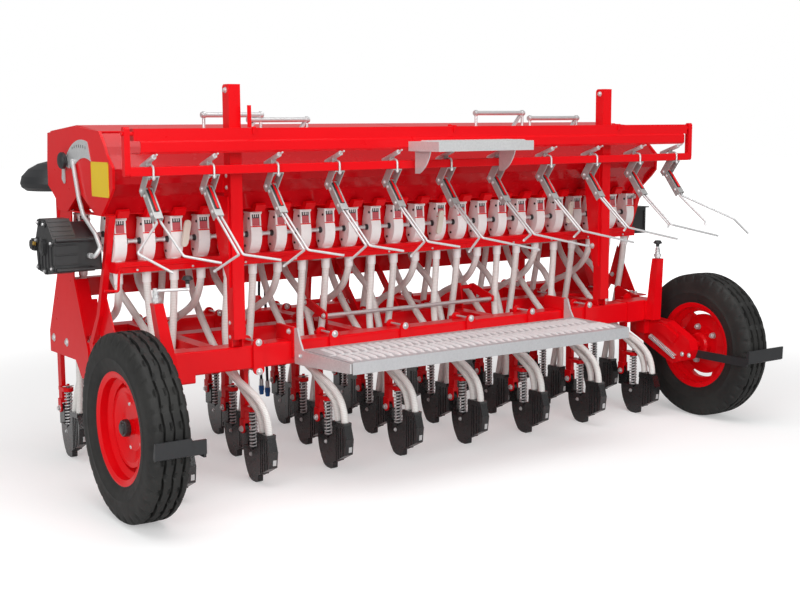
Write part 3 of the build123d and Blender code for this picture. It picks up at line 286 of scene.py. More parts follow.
class Finish:
    """A material with one Principled shader; fixed gives the sockets that are the same all over."""

    def __init__(self, name, fixed):
        self.material = bpy.data.materials.new(name)
        self.material.use_nodes = True
        self.tree = self.material.node_tree
        self.shader = self.tree.nodes["Principled BSDF"]
        for socket, value in fixed.items():
            self.shader.inputs[socket].default_value = value

    def node(self, kind, settings=None, inputs=None, out=0):
        """Adds a node: its settings first (a ramp's stops among them), then its inputs' values or links."""
        made = self.tree.nodes.new(kind)
        for key, value in (settings or {}).items():
            if key == "stops":
                ramp = made.color_ramp
                while len(ramp.elements) < len(value):
                    ramp.elements.new(0.5)
                for element, (position, colour) in zip(ramp.elements, value):
                    element.position = position
                    element.color = (*colour, 1)
            else:
                setattr(made, key, value)
        for key, value in (inputs or {}).items():
            self.plug(made.inputs[key], value)
        return Value(self, made.outputs[out])

    def plug(self, socket, value):
        if isinstance(value, Value):
            self.tree.links.new(value.socket, socket)
        else:
            socket.default_value = value

    def place(self, scale=(1, 1, 1), own=False):
        """Object coordinates, or the piece's own UV map, times a scale."""
        where = self.node("ShaderNodeTexCoord", out="UV" if own else "Object")
        return self.node("ShaderNodeMapping", {}, {"Vector": where, "Scale": scale})

    def noise(self, scale, detail=3.0, rough=0.5, where=None, out=0):
        return self.node("ShaderNodeTexNoise", {}, {"Vector": where or self.place(), "Scale": scale,
                                                    "Detail": detail, "Roughness": rough}, out)

    def between(self, mask, first, second):
        """The first colour where the mask is 0 and the second where it is 1."""
        return self.node("ShaderNodeMix", {"data_type": "RGBA"}, {0: mask, 6: first, 7: second}, out=2)

    def bump(self, height, distance, strength=1.0):
        normal = self.node("ShaderNodeBump", {},
                           {"Height": height, "Distance": distance, "Strength": strength})
        self.plug(self.shader.inputs["Normal"], normal)

    def varies(self, socket, value):
        self.plug(self.shader.inputs[socket], value)


def rgb(red, green, blue):
    return (red, green, blue, 1.0)


def painted(name, colour, deep, rough=0.3, coat=0.55):
    """Sprayed gloss paint: the colour drifts a little, and a fine orange peel breaks the gloss."""
    f = Finish(name, {"Coat Weight": coat, "Coat Roughness": 0.04, "Specular IOR Level": 0.1})
    drift = f.noise(3.0, 4.0)
    f.varies("Base Color", f.between(drift * 0.55, colour, deep))
    f.varies("Roughness", f.noise(22.0, 3.0) * 0.12 + (rough - 0.06))
    f.bump(f.noise(260.0, 2.0), 0.0004, 0.12)
    return f.material


def zinc(name, colour, deep, rough, metallic, spangle):
    """Galvanised or bright metal: spangle cells of slightly different grey, with fine rolling marks."""
    f = Finish(name, {"Metallic": metallic, "Specular IOR Level": 0.5})
    cells = f.node("ShaderNodeTexVoronoi", {}, {"Vector": f.place(), "Scale": spangle}, out="Color")
    tone = f.node("ShaderNodeRGBToBW", {}, {"Color": cells})
    cloud = f.noise(6.0, 4.0)
    f.varies("Base Color", f.between(tone * 0.5 + cloud * 0.5, colour, deep))
    f.varies("Roughness", tone * 0.12 + (rough - 0.06))
    f.bump(f.noise(180.0, 3.0), 0.0003, 0.1)
    return f.material


def plastic(name, colour, deep, rough, grain, coat=0.0):
    """Moulded plastic or cast skin: a soft mottle with a fine grain."""
    f = Finish(name, {"Coat Weight": coat, "Coat Roughness": 0.15})
    f.varies("Base Color", f.between(f.noise(9.0, 4.0), colour, deep))
    f.varies("Roughness", f.noise(40.0, 3.0) * 0.16 + (rough - 0.08))
    f.bump(f.noise(grain, 3.0), 0.0006, 0.25)
    return f.material


def rubber():
    """Tyre rubber: near black, with greyer dust in soft patches and a faint moulded grain."""
    f = Finish("tyre rubber", {"Specular IOR Level": 0.35})
    dust = f.noise(5.0, 6.0, 0.65)
    f.varies("Base Color", f.between(dust * 1.2 - 0.3, rgb(0.008, 0.008, 0.0083), rgb(0.04, 0.04, 0.036)))
    f.varies("Roughness", f.noise(30.0, 3.0) * 0.25 + 0.5)
    f.bump(f.noise(420.0, 2.0), 0.0005, 0.3)
    return f.material


RING_PITCH = 7.0             # between the rings of a ribbed hose


def ribbed_hose():
    """Corrugated seed hose: rings along its length dent the wall, and painted shade darkens the troughs
    between them.
    """
    f = Finish("ribbed hose", {"Specular IOR Level": 0.4})
    along = f.node("ShaderNodeSeparateXYZ", {}, {"Vector": f.place(own=True)}, out="Y")
    wave = f.node("ShaderNodeMath", {"operation": "SINE"}, {0: along * (TAU / RING_PITCH)})
    ring = wave * 0.5 + 0.5
    patch = f.noise(14.0, 3.0)
    light = f.between(patch, rgb(0.95, 0.94, 0.92), rgb(0.88, 0.865, 0.835))
    # Painted shade: each trough of the rings goes halfway to a grey brown.
    f.varies("Base Color", f.between(ring * 0.5, light, rgb(0.62, 0.60, 0.565)))
    f.varies("Roughness", ring * 0.15 + 0.33)
    f.bump(1 - ring, 0.0012, 0.6)
    return f.material


RED = painted("signal red paint", rgb(0.80, 0.003, 0.008), rgb(0.66, 0.002, 0.005), 0.3, 0.22)
# Darker copy of the signal red for the hopper walls: painted shade.
SHADED_WALL_RED = painted("shaded red paint", rgb(0.60, 0.003, 0.008), rgb(0.44, 0.002, 0.005), 0.26, 0.5)
ROSE = painted("window rose", rgb(0.62, 0.13, 0.15), rgb(0.42, 0.05, 0.06), 0.2, 0.8)
ZINC = zinc("galvanised sheet", rgb(0.74, 0.745, 0.75), rgb(0.58, 0.585, 0.59), 0.4, 0.4, 140.0)
# One galvanised sheet in two tones: the footboard louvres lighter as painted highlight, the deck between
# them darker as painted shade.
HIGHLIGHT_TREAD = zinc("tread with painted highlight", rgb(0.88, 0.885, 0.89), rgb(0.78, 0.785, 0.79), 0.34, 0.2, 140.0)
SHADED_DECK_ZINC = zinc("deck sheet with painted shade", rgb(0.60, 0.605, 0.62), rgb(0.50, 0.505, 0.52), 0.4, 0.4, 140.0)
HOLDER_ZINC = zinc("zinc holder", rgb(0.50, 0.505, 0.50), rgb(0.38, 0.385, 0.38), 0.4, 0.4, 120.0)
STEEL = zinc("bright steel", rgb(0.80, 0.80, 0.80), rgb(0.62, 0.62, 0.63), 0.36, 0.6, 90.0)
SPRING = zinc("spring steel", rgb(0.74, 0.74, 0.74), rgb(0.56, 0.56, 0.57), 0.34, 0.4, 90.0)
BLACK = plastic("black cast boot", rgb(0.006, 0.006, 0.0065), rgb(0.018, 0.018, 0.019), 0.26, 320.0, 0.8)
CASE = plastic("black gearbox case", rgb(0.012, 0.012, 0.013), rgb(0.03, 0.03, 0.031), 0.42, 240.0, 0.15)
MATT = plastic("matt black plastic", rgb(0.012, 0.013, 0.015), rgb(0.024, 0.025, 0.027), 0.45, 380.0)
WHITE = plastic("white metering plastic", rgb(0.95, 0.95, 0.945), rgb(0.89, 0.885, 0.875), 0.3, 200.0, 0.2)
OFF_WHITE = plastic("ivory lever plastic", rgb(0.74, 0.70, 0.62), rgb(0.62, 0.57, 0.48), 0.4, 200.0)
BLUE = plastic("blue cap", rgb(0.02, 0.17, 0.55), rgb(0.01, 0.11, 0.42), 0.3, 200.0, 0.3)
HOSE_BLACK = plastic("hydraulic hose rubber", rgb(0.012, 0.016, 0.03), rgb(0.03, 0.034, 0.05), 0.4, 300.0)
YELLOW = plastic("yellow plate", rgb(0.86, 0.60, 0.012), rgb(0.80, 0.53, 0.01), 0.4, 120.0)
BRASS = zinc("brass plug", rgb(0.55, 0.36, 0.08), rgb(0.42, 0.26, 0.05), 0.35, 0.8, 120.0)
TYRE = rubber()
HOSE = ribbed_hose()

# ---------------------------------------------------------------- camera, light and floor
CAMERA_AT = (-3.43794, -(4.69898 + 0.3485), 1.51762)
CAMERA_RIGHT = (0.825, -0.5651, -0.0061)
CAMERA_UP = (0.0823, 0.1095, 0.9906)
CAMERA_BACK = (-0.5591, -0.8177, 0.1368)
SENSOR = 36.0
FOCAL_PER_WIDTH = 1278.03 / 800
CLIP_END = 200.0


def make_camera():
    lens = bpy.data.cameras.new("camera")
    lens.sensor_width = SENSOR
    lens.sensor_fit = "HORIZONTAL"
    lens.lens = SENSOR * FOCAL_PER_WIDTH
    lens.clip_end = CLIP_END
    camera = bpy.data.objects.new("camera", lens)
    bpy.context.scene.collection.objects.link(camera)
    turn = Matrix((CAMERA_RIGHT, CAMERA_UP, CAMERA_BACK)).transposed().to_4x4()
    camera.matrix_world = Matrix.Translation(CAMERA_AT) @ turn
    bpy.context.scene.camera = camera


def make_light(name, at, towards, size, watts):
    lamp = bpy.data.lights.new(name, "AREA")
    lamp.shape = "RECTANGLE"
    lamp.size, lamp.size_y = size
    lamp.energy = watts
    made = bpy.data.objects.new(name, lamp)
    bpy.context.scene.collection.objects.link(made)
    turn = Vector(np.subtract(towards, at)).to_track_quat("-Z", "Y")
    made.matrix_world = Matrix.Translation(at) @ turn.to_matrix().to_4x4()
    return made


WORLD_LEVEL = 0.36           # strength of the world's light on the objects
FLOOR_LIFT = 0.34            # light that the floor gives off to the camera near the middle
FLOOR_NEAR = 2.2             # metres from the middle where that light starts to grow
FLOOR_FAR = 6.0              # and where the floor is white
FLOOR_HALF = 40.0
FLOOR_DROP = 0.0005


def make_stage():
    """White world behind a pale floor.  To the camera the floor also gives off a little light, which
    grows with the distance from the middle until the floor is as white as the world."""
    world = bpy.data.worlds.new("studio")
    world.use_nodes = True
    bpy.context.scene.world = world
    tree = world.node_tree
    sky = tree.nodes["Background"]
    path = tree.nodes.new("ShaderNodeLightPath")
    seen = tree.nodes.new("ShaderNodeMath")
    seen.operation = "MAXIMUM"
    tree.links.new(path.outputs["Is Camera Ray"], seen.inputs[0])
    tree.links.new(path.outputs["Is Transmission Ray"], seen.inputs[1])
    level = tree.nodes.new("ShaderNodeMapRange")
    level.inputs["To Min"].default_value = WORLD_LEVEL
    level.inputs["To Max"].default_value = 1.0
    tree.links.new(seen.outputs[0], level.inputs["Value"])
    sky.inputs["Color"].default_value = (1, 1, 1, 1)
    tree.links.new(level.outputs[0], sky.inputs["Strength"])
    floor = Finish("pale floor", {"Roughness": 0.9, "Specular IOR Level": 0.0, "Emission Strength": 1.0})
    tone = floor.between(floor.noise(0.4), rgb(0.71, 0.71, 0.71), rgb(0.69, 0.69, 0.69))
    floor.varies("Base Color", tone)
    reach = floor.node("ShaderNodeVectorMath", {"operation": "LENGTH"}, {0: floor.place()}, out="Value")
    away = floor.node("ShaderNodeMapRange", {"interpolation_type": "SMOOTHSTEP"},
                      {"Value": reach, "From Min": FLOOR_NEAR, "From Max": FLOOR_FAR,
                       "To Min": FLOOR_LIFT, "To Max": 1.0})
    camera_ray = floor.node("ShaderNodeLightPath", out="Is Camera Ray")
    floor.varies("Emission Color", floor.between(away * camera_ray, rgb(0, 0, 0), rgb(1, 1, 1)))
    mesh = bpy.data.meshes.new("floor")
    half, low = FLOOR_HALF, -FLOOR_DROP
    mesh.from_pydata([(-half, -half, low), (half, -half, low), (half, half, low), (-half, half, low)], [],
                     [(0, 1, 2, 3)])
    mesh.materials.append(floor.material)
    made = bpy.data.objects.new("floor", mesh)
    bpy.context.scene.collection.objects.link(made)


make_camera()
make_stage()
# name, place, the point it is turned to, size and watts
LAMPS = (("overhead", (-1.0, -1.5, 6.5), (0, 0, 0.4), (7.0, 5.0), 270),
         ("left side", (-7.0, -4.0, 3.0), (0, 0, 0.9), (3.5, 3.0), 190),
         ("behind camera", (-1.0, -8.0, 3.0), (0, 0, 0.8), (5.0, 2.5), 230))
for lamp in LAMPS:
    make_light(*lamp)
bpy.context.scene.view_settings.view_transform = "Standard"


# ---------------------------------------------------------------- hydraulic hoses
PORT_X = -170.0
PORT_Z = 905.0
PORT_STATION = 993.0 + 26
HYDRAULIC_R = 7.0


def nurbs_line(name, points, bevel):
    """Curve object of one NURBS spline of order 3 through these control points, with its ends on them."""
    curve = bpy.data.curves.new(name, "CURVE")
    curve.dimensions = "3D"
    curve.resolution_u = 12
    curve.bevel_depth = bevel / UNIT
    curve.bevel_resolution = 4
    curve.use_fill_caps = True
    spline = curve.splines.new("NURBS")
    spline.points.add(len(points) - 1)
    for point, place in zip(spline.points, metres(points)):
        point.co = (*place, 1)
    spline.order_u = 3
    spline.use_endpoint_u = True
    made = bpy.data.objects.new(name, curve)
    bpy.context.scene.collection.objects.link(made)
    return made


# name, x of the drop, rise over the port's middle, height of the free end, length in metres
HYDRAULIC_RUNS = (("rear", -361.0, 14.0, 212.0, 0.83), ("front", -381.0, -14.0, 220.0, 0.82))
# (distance along the axis, radius) of a coupling's body and of its cap
COUPLING_BODY = ((0, 9), (0, 10.5), (16, 10.5), (18, 11), (34, 11), (36, 8), (36.2, 8))
COUPLING_CAP = ((35, 8), (35, 13.5), (40, 14), (58, 14), (62, 12), (74, 12), (81, 10), (81.6, 6))


def hydraulic_hoses():
    for name, drop_x, rise, bottom, length in HYDRAULIC_RUNS:
        x, s = PORT_X - 0.3, PORT_STATION - rise
        z = PORT_Z + rise
        route = [(x, s, z), (x - 50, s, z), (drop_x + 62, s + 2, z - 14), (drop_x + 4, s + 6, PORT_Z - 105),
                 (drop_x - 5, s + 10, 660), (drop_x + 4, s + 8, 512), (drop_x - 3, s + 12, 362),
                 (drop_x, s + 9, bottom)]
        line = nurbs_line("hydraulic_line_" + name, route, HYDRAULIC_R)
        line.data.materials.append(HOSE_BLACK)
        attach(line, "frame")
        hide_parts("hydraulic_hose_" + name)
        end = np.array([drop_x, s + 9, bottom - 0.3])
        ferrule = piece("coupling_body_" + name, [turned(end, DOWN, COUPLING_BODY, 18)], STEEL, smooth=40)
        shell = piece("coupling_cap_" + name, [turned(end, DOWN, COUPLING_CAP, 18)], BLUE,
                      smooth=40)
        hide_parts("coupling_" + name)


hydraulic_hoses()


# ---------------------------------------------------------------- seed and fertiliser hoses
def hose_route(row, fertiliser):
    """Control points from a metering spout to the boot, bent aside where a beam or lever is in the way."""
    x, rank = row_x(row), rank_of(row)
    base = rank * RANK_STEP
    source, entry, side = (FERTILISER_STATION, -62, -1) if fertiliser else (SEED_STATION, -8, 1)
    end = (x, base + entry - 18, 312)
    past = 1 if row == TOWER_ROWS[0] else -1
    if rank == 0 and not fertiliser:
        middle = [(x + past * 20, 290, 620), (x + past * 30, 240, 500), (x + past * 30, 140, 415),
                  (x + past * 20, 50, 355)]
        end = (x, -2, 300)
    elif rank == 0:
        middle = [(x + past * 40, 520, 700), (x + past * 60, 300, 540), (x + past * 60, 150, 450),
                  (x + past * 15, 20, 382)]
        end = (x + past * 2, -60, 300)
    elif rank == 1 and fertiliser:
        aside = x - (42 if row == ROWS - 1 else 22)
        middle = [(aside, 600, 800), (aside, 425, 700)]
    elif rank == 2 and not fertiliser:
        aside = x + (44 if row == 0 else 19)
        middle = [(aside, 420, 720), (aside, 700, 620)]
    else:
        middle = [(x + side * 12, (source + base + entry) / 2, 560)]
    return ([(x, source, SPOUT_END), (x, source, SPOUT_END - 60)] + middle
            + [end, (x, base + entry, 226)])


def ribbed_hoses():
    sides = 14
    for rank, name in enumerate(("rear", "middle", "front")):
        bodies, uv = [], []
        for row in range(ROWS):
            if rank_of(row) != rank:
                continue
            for fertiliser in (False, True):
                path = smooth_path(hose_route(row, fertiliser), 7)
                run = np.concatenate([[0], np.cumsum(np.linalg.norm(np.diff(path, axis=0), axis=1))])
                bodies.append(tube(path, HOSE_R, sides))
                grid = np.meshgrid(run, np.arange(sides) / sides, indexing="ij")
                uv.append(np.stack(grid, -1).reshape(-1, 2)[:, ::-1])
        made = piece("ribbed_hoses_" + name, bodies, HOSE, smooth=50, uv=np.vstack(uv))
        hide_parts("hoses_" + name)


ribbed_hoses()


# ---------------------------------------------------------------- coulters
SPRING_STATION = 76.0
SPRING_FOOT = 152.0
SPRING_RISE = 148.0
COIL_R = 16.2
COIL_TURNS = 11
COIL_WIRE_R = 3.4
CLIP_Z = 327.0
CLAMP_BOLT_ZS = (609, 484)
BOOT_HALF = 18.5


def coulter_springs():
    coils, rods = [], []
    for row in range(ROWS):
        x, base = row_x(row), rank_of(row) * RANK_STEP
        foot = np.array([x, base + SPRING_STATION, SPRING_FOOT])
        coils.append(helix(foot, foot + (0, 0, SPRING_RISE), COIL_R, COIL_TURNS, COIL_WIRE_R))
        rods.append(turned(foot - (0, 0, 3), UP, [(0, 15), (4, 15), (4, 8.5), (176, 8.5), (180, 6)], 12))
        rods.append(turned(foot + (0, 0, SPRING_RISE - 2), UP, [(0, 16), (0, 19), (4, 19), (4, 10)], 12))
    made = piece("coil_springs", coils, SPRING, smooth=80)
    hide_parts("coulter_springs")
    piece("spring_rods", rods, BLACK, smooth=40)


def clip(x, station, z):
    """Split pin of round wire through the spring rod: one straight leg and one waved leg."""
    leg = [(x - 26, station, z), (x + 20, station, z)]
    wave = [(x - 22, station - 2, z), (x - 12, station - 7, z + 1), (x, station - 9, z + 2),
            (x + 14, station - 8, z + 1), (x + 24, station - 4, z), (x + 27, station + 1, z),
            (x + 20, station + 2, z)]
    return [tube(leg, 1.8, 6, UP), tube(smooth_path(wave, 3), 1.8, 6, UP)]


def coulter_fasteners():
    bright, clips, highlight_strips = [], [], []
    for row in range(ROWS):
        x, base = row_x(row), rank_of(row) * RANK_STEP
        sleeved = row in TOWER_ROWS
        for z in CLAMP_BOLT_ZS:
            if not sleeved:
                bright.append(dome_bolt((x, base + BEAM_REAR - 13, z), BACK, 11.5))
                bright.append(turned((x, base + BEAM_REAR + 0.5, z), FORWARD, [(0, 5), (102, 5)], 8))
            bright.append(bolt((x, base + BEAM_FRONT + 9.8, z), FORWARD, 19))
        for side in (LEFT, RIGHT):
            hub = np.array([x, base + 154, 212.0]) + side * 16
            bright.append(bolt(hub, side, 19))
            bright.append(bolt(np.array([x, base + 78, 116.0]) + side * 13, side, 13))
        clips += clip(x, base + SPRING_STATION, CLIP_Z)
        # Pale strip at the rear edge of each boot: painted highlight of its glossy edge.
        highlight_strips.append(prism([(base - 93.5, 97), (base - 92, 96), (base - 98.8, 150), (base - 100.6, 151)],
                            x - 2, x + 14))
    piece("coulter_bolts", bright, STEEL, smooth=30)
    piece("spring_clips", clips, STEEL, smooth=60)
    piece("boot_edge_highlights", highlight_strips, ZINC)


def boot_ribs():
    """Upright ribs on both cheeks of a boot's rear housing and round its mouth."""
    ribs = []
    for row in range(ROWS):
        x, base = row_x(row), rank_of(row) * RANK_STEP
        for side in (-1, 1):
            for station, low in ((-34, 59), (-54, 69), (-74, 79)):
                rear, front = base + station, base + station + 5
                ribs.append(prism([(rear, low), (front, low - 2), (front, 202), (rear, 203)],
                                  x + side * BOOT_HALF, x + side * (BOOT_HALF + 3)))
        ribs.append(prism([(base - 92, 88), (base - 87, 84), (base - 96, 159), (base - 102, 159)],
                          x - 20, x + 20))
    piece("boot_ribs", ribs, BLACK)


coulter_springs()
coulter_fasteners()
boot_ribs()


# ---------------------------------------------------------------- wheels
NOTCHES = 36
STEPS_A_NOTCH = 8
GROOVE_EDGES = (3, 6, 9)     # crown points beside a groove, which the notches cut down
GROOVE_SWAY = 2.4
NOTCH_DROP = 12.0
NOTCH_LIP = 4.0
SHOULDER_CUTS = ((3.5, 2.0), (5.0, 4.0), (4.0, 3.0))    # depth and inset, outermost first


def tyre_section():
    """Outer half section as (radius, offset) from the bead over the shoulder, then ribs and grooves."""
    side = [(203.3, 50), (206, 55), (214, 60), (221.5, 66.2), (226, 66.6), (234, 73), (250, 78.5),
            (270, 81.6), (273, 83.2), (277, 83.2), (280, 82.0), (300, 82.4), (318, 81.6), (332, 79.4),
            (345, 76), (356, 71.5), (363, 66)]
    crown = [(366.5, 60), (368.0, 56), (368.4, 50), (368.6, 44), (355.5, 42), (355.5, 34), (369.0, 32),
             (369.3, 24), (369.6, 15), (369.8, 5.5), (359, 4)]
    return side, crown


def tyre(name, x):
    """Ribbed tyre: point (i, j) is the section's point j turned about the axle by angle i.  The grooves
    swing sideways as a triangle wave, and in each notch a rib's edge beside a groove is set down."""
    side, crown = tyre_section()
    half = np.array(side + crown)
    section = np.vstack([half * (1, -1), half[::-1]])
    count = NOTCHES * STEPS_A_NOTCH
    turn = np.arange(count)
    angle = turn * TAU / count
    radius = np.repeat(section[None, :, 0], count, 0)
    offset = np.repeat(section[None, :, 1], count, 0)
    first, total = len(side), len(section)
    part = turn % STEPS_A_NOTCH
    parity = (turn // STEPS_A_NOTCH) % 2
    sway = GROOVE_SWAY * (np.abs((turn / STEPS_A_NOTCH) % 2 - 1) * 2 - 1)
    offset[:, first + 3:total - first - 3] += sway[:, None]
    for number, edge in enumerate(GROOVE_EDGES):
        for mirrored in (0, 1):
            j = total - 1 - (first + edge) if mirrored else first + edge
            hit = (part < 3) & (parity == (number + mirrored) % 2)
            radius[hit, j] -= NOTCH_DROP
            inner = j + (1 if mirrored else -1) * (1 if edge == 3 else -1)
            radius[hit, inner] -= NOTCH_LIP
    cut = part < 2
    for step, (drop, squeeze) in enumerate(SHOULDER_CUTS):
        for j, way in ((first - 1 - step, 1), (total - first + step, -1)):
            radius[cut, j] -= drop
            offset[cut, j] -= np.sign(section[j, 1]) * squeeze
    centre = np.array([x, AXLE_STATION, TYRE_R])
    rings = centre + np.stack([offset, radius * np.sin(angle)[:, None],
                               radius * np.cos(angle)[:, None]], -1)
    rings[..., 2] = np.maximum(rings[..., 2], 0.2)
    points, faces = skin(rings, loop=True)
    made = piece("ribbed_" + name, [(points, faces)], TYRE, body="wheel_" + name.split("_")[1],
                 smooth=28)
    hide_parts(name)


NUTS = 5
NUT_CIRCLE_R = 92.0
NUT_TURN = 0.3


def wheel_fittings(name, x, out):
    """Hub cap and wheel nuts of one wheel; out is its outer side."""
    hub = np.array([x, AXLE_STATION, TYRE_R])
    axis = RIGHT * out
    cap = [turned(hub + axis * 34, axis, [(-8, 34), (8, 34), (14, 31), (14.2, 24), (20, 22), (22, 16)], 24)]
    piece("hub_cap_" + name, cap, CASE, body="wheel_" + name, smooth=35)
    nuts = []
    for turn in np.arange(NUTS) * TAU / NUTS + NUT_TURN:
        spot = hub + np.array([0, np.sin(turn), np.cos(turn)]) * NUT_CIRCLE_R
        nuts.append(bolt(spot - axis * 6.5, axis, 22))
        nuts.append(bolt(spot - axis * 16, -axis, 20))
    piece("wheel_nuts_" + name, nuts, STEEL, body="wheel_" + name, smooth=30)


for name, out in (("left", -1), ("right", 1)):
    tyre("tyre_" + name, out * WHEEL_X)
    wheel_fittings(name, out * WHEEL_X, out)


# ---------------------------------------------------------------- metering
GATE_LEVERS = ((-1159.0, 1068.0), (159.0, 1051.0), (985.0, 1062.0))
METER_HALF = 26.0
METER_DEEP = 38.0            # from a meter's middle to its rear face
SHAFT_Z = 1042.0
CUFF_Z = 866.0
# (distance along the axis, radius) of the rings of a hose cuff and of a shaft bearing
CUFF = ((0, 16.2), (0, 18.8), (4, 19.4), (44, 19.6), (48, 22), (56, 22), (58, 20.2))
BEARING = ((0, 13), (0, 14), (6, 14), (8, 12), (8, 11), (15, 11), (16, 10))


def metering_details():
    windows, painted_shadows, rims, lines, nuts, bosses, levers = [], [], [], [], [], [], []
    for station in (SEED_STATION, FERTILISER_STATION):
        rear = station - METER_DEEP
        for row in range(ROWS):
            x = row_x(row)
            windows.append(prism([(rear - 1.0, METER_TOP - 60), (rear + 2.6, METER_TOP - 12),
                                  (rear + 6, METER_TOP - 12), (rear + 3, METER_TOP - 60)],
                                 x - 19, x + 18))
            rims.append(prism([(rear - 5, METER_TOP - 4), (rear - 3, METER_TOP - 10),
                               (rear + 6, METER_TOP - 12), (rear + 6, METER_TOP - 2)], x - 27, x + 27))
            for edge in (-1, 1):
                rims.append(prism([(rear - 3.5, METER_TOP - 62), (rear, METER_TOP - 10),
                                   (rear + 5, METER_TOP - 10), (rear + 3, METER_TOP - 62)],
                                  x + edge * 19, x + edge * 25))
            # Dark strip under each window's upper rim: painted shadow.
            painted_shadows.append(prism([(rear + 0.4, METER_TOP - 28), (rear + 2.0, METER_TOP - 11),
                                 (rear + 6, METER_TOP - 11), (rear + 5, METER_TOP - 28)],
                                x - 18.5, x + 17.5))
            for bar in (x - 10, x, x + 9):
                rims.append(slab(bar - 1.4, bar + 1.4, rear - 0.4, rear + 3, METER_TOP - 24,
                                 METER_TOP - 11, 0.6))
            lines.append(prism([(rear - 3.2, METER_TOP - 66), (rear - 3.0, METER_TOP - 61),
                                (rear + 3, METER_TOP - 61), (rear + 3, METER_TOP - 66)],
                               x - 25.5, x + 25.5))
            for side in (-1, 1):
                spot = np.array([x + side * METER_HALF, station - 4, SHAFT_Z])
                bosses.append(turned(spot, RIGHT * side, BEARING, 14))
                nuts.append(turned(spot + RIGHT * side * 16, RIGHT * side,
                                   [(0, 10), (0, 12), (7, 12), (7, 9.4)], 12))
                for along, z in ((-26, 1112), (14, 990)):
                    bosses.append(turned((x + side * METER_HALF, station + along, z), RIGHT * side,
                                         [(0, 5.5), (4, 5.5), (5, 4)], 8))
    piece("meter_windows", windows, ROSE)
    piece("meter_painted_shadows", painted_shadows, MATT)
    piece("meter_rims", rims, WHITE)
    piece("meter_lines", lines, RED)
    piece("meter_bosses", bosses, MATT, smooth=35)
    piece("shaft_collars", nuts, STEEL, smooth=35)
    for x, z in GATE_LEVERS:
        outline = [(-22, -50), (-14, -57), (-2, -55), (6, -44), (22, 36), (21, 48), (12, 55), (0, 53),
                   (-6, 42)]
        levers.append(panel([(x + dx, z + dz) for dx, dz in outline], 214, 226))
        levers.append(turned((x + 9, 214, z + 40), BACK, [(0, 5), (3, 5), (4, 3)], 10))
    piece("gate_levers", levers, OFF_WHITE, smooth=30)


def hose_collars():
    """Cuff where each hose is pushed onto its spout."""
    cuffs = []
    for station in (SEED_STATION, FERTILISER_STATION):
        for row in range(ROWS):
            cuffs.append(turned((row_x(row), station, CUFF_Z), UP, CUFF, 14))
    piece("hose_cuffs", cuffs, WHITE, smooth=40)


metering_details()
hose_collars()


# ---------------------------------------------------------------- footboard and upper step
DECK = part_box("footboard")
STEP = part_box("upper_step")
DECK_PITCH = 39.0            # between the footboard's louvres
STEP_PITCH = 26.0


def stations(box):
    """A box in millimetres: (x0, x1), (station0, station1), (z0, z1)."""
    low, high = np.asarray(box[0]) * UNIT, np.asarray(box[1]) * UNIT
    return (low[0], high[0]), (low[1] - STATION_ZERO, high[1] - STATION_ZERO), (low[2], high[2])


def louvre(x, s0, s1, z, lean=14.0, width=15.0, height=9.0):
    """Pressed rib: its height is a sine across the width and fades over its last fifth at both ends."""
    u = np.linspace(-1, 1, 7)
    v = np.linspace(0, 1, 7)
    fade = np.clip(np.minimum(v, 1 - v) * 6, 0, 1) ** 0.5
    rings = []
    for part, scale in zip(v, fade):
        middle = x + lean * (part - 0.5)
        top = [(middle + width / 2 * a, s0 + (s1 - s0) * part, z + height * scale * np.cos(a * TAU / 4))
               for a in u]
        rings.append(top + [(middle + width / 2, s0 + (s1 - s0) * part, z - 0.6),
                            (middle - width / 2, s0 + (s1 - s0) * part, z - 0.6)])
    return skin(np.array(rings)[:, ::-1])


def tread_plates():
    (x0, x1), (s0, s1), (_, top) = stations(DECK)
    ribs = []
    for row, (a, b) in enumerate(((s0 + 30, s0 + 178), (s0 + 196, s0 + 344))):
        for x in np.arange(x0 + 30 + row * DECK_PITCH / 2, x1 - 28, DECK_PITCH):
            ribs.append(louvre(x, a, b, top - 0.4))
    ribs.append(prism([(s0 + 184, top - 0.5), (s0 + 186, top + 1.5), (s0 + 189, top + 1.5),
                       (s0 + 191, top - 0.5)], x0 + 6, x1 - 6))
    piece("footboard_louvres", ribs, HIGHLIGHT_TREAD, smooth=50)
    (x0, x1), (s0, s1), (_, top) = stations(STEP)
    teeth = []
    for row, (a, b) in enumerate(((s0 + 16, s0 + 92), (s0 + 110, s0 + 186))):
        for x in np.arange(x0 + 22 + row * STEP_PITCH / 2, x1 - 18, STEP_PITCH):
            teeth.append(louvre(x, a, b, top - 0.4, 6.0, 15.0, 5.5))
    piece("upper_step_louvres", teeth, ZINC, smooth=50)


tread_plates()


# ---------------------------------------------------------------- following harrow
TUBE_REAR, TUBE_FRONT, TUBE_LOW, TUBE_TOP = -82.0, -46.0, 1322.0, 1358.0


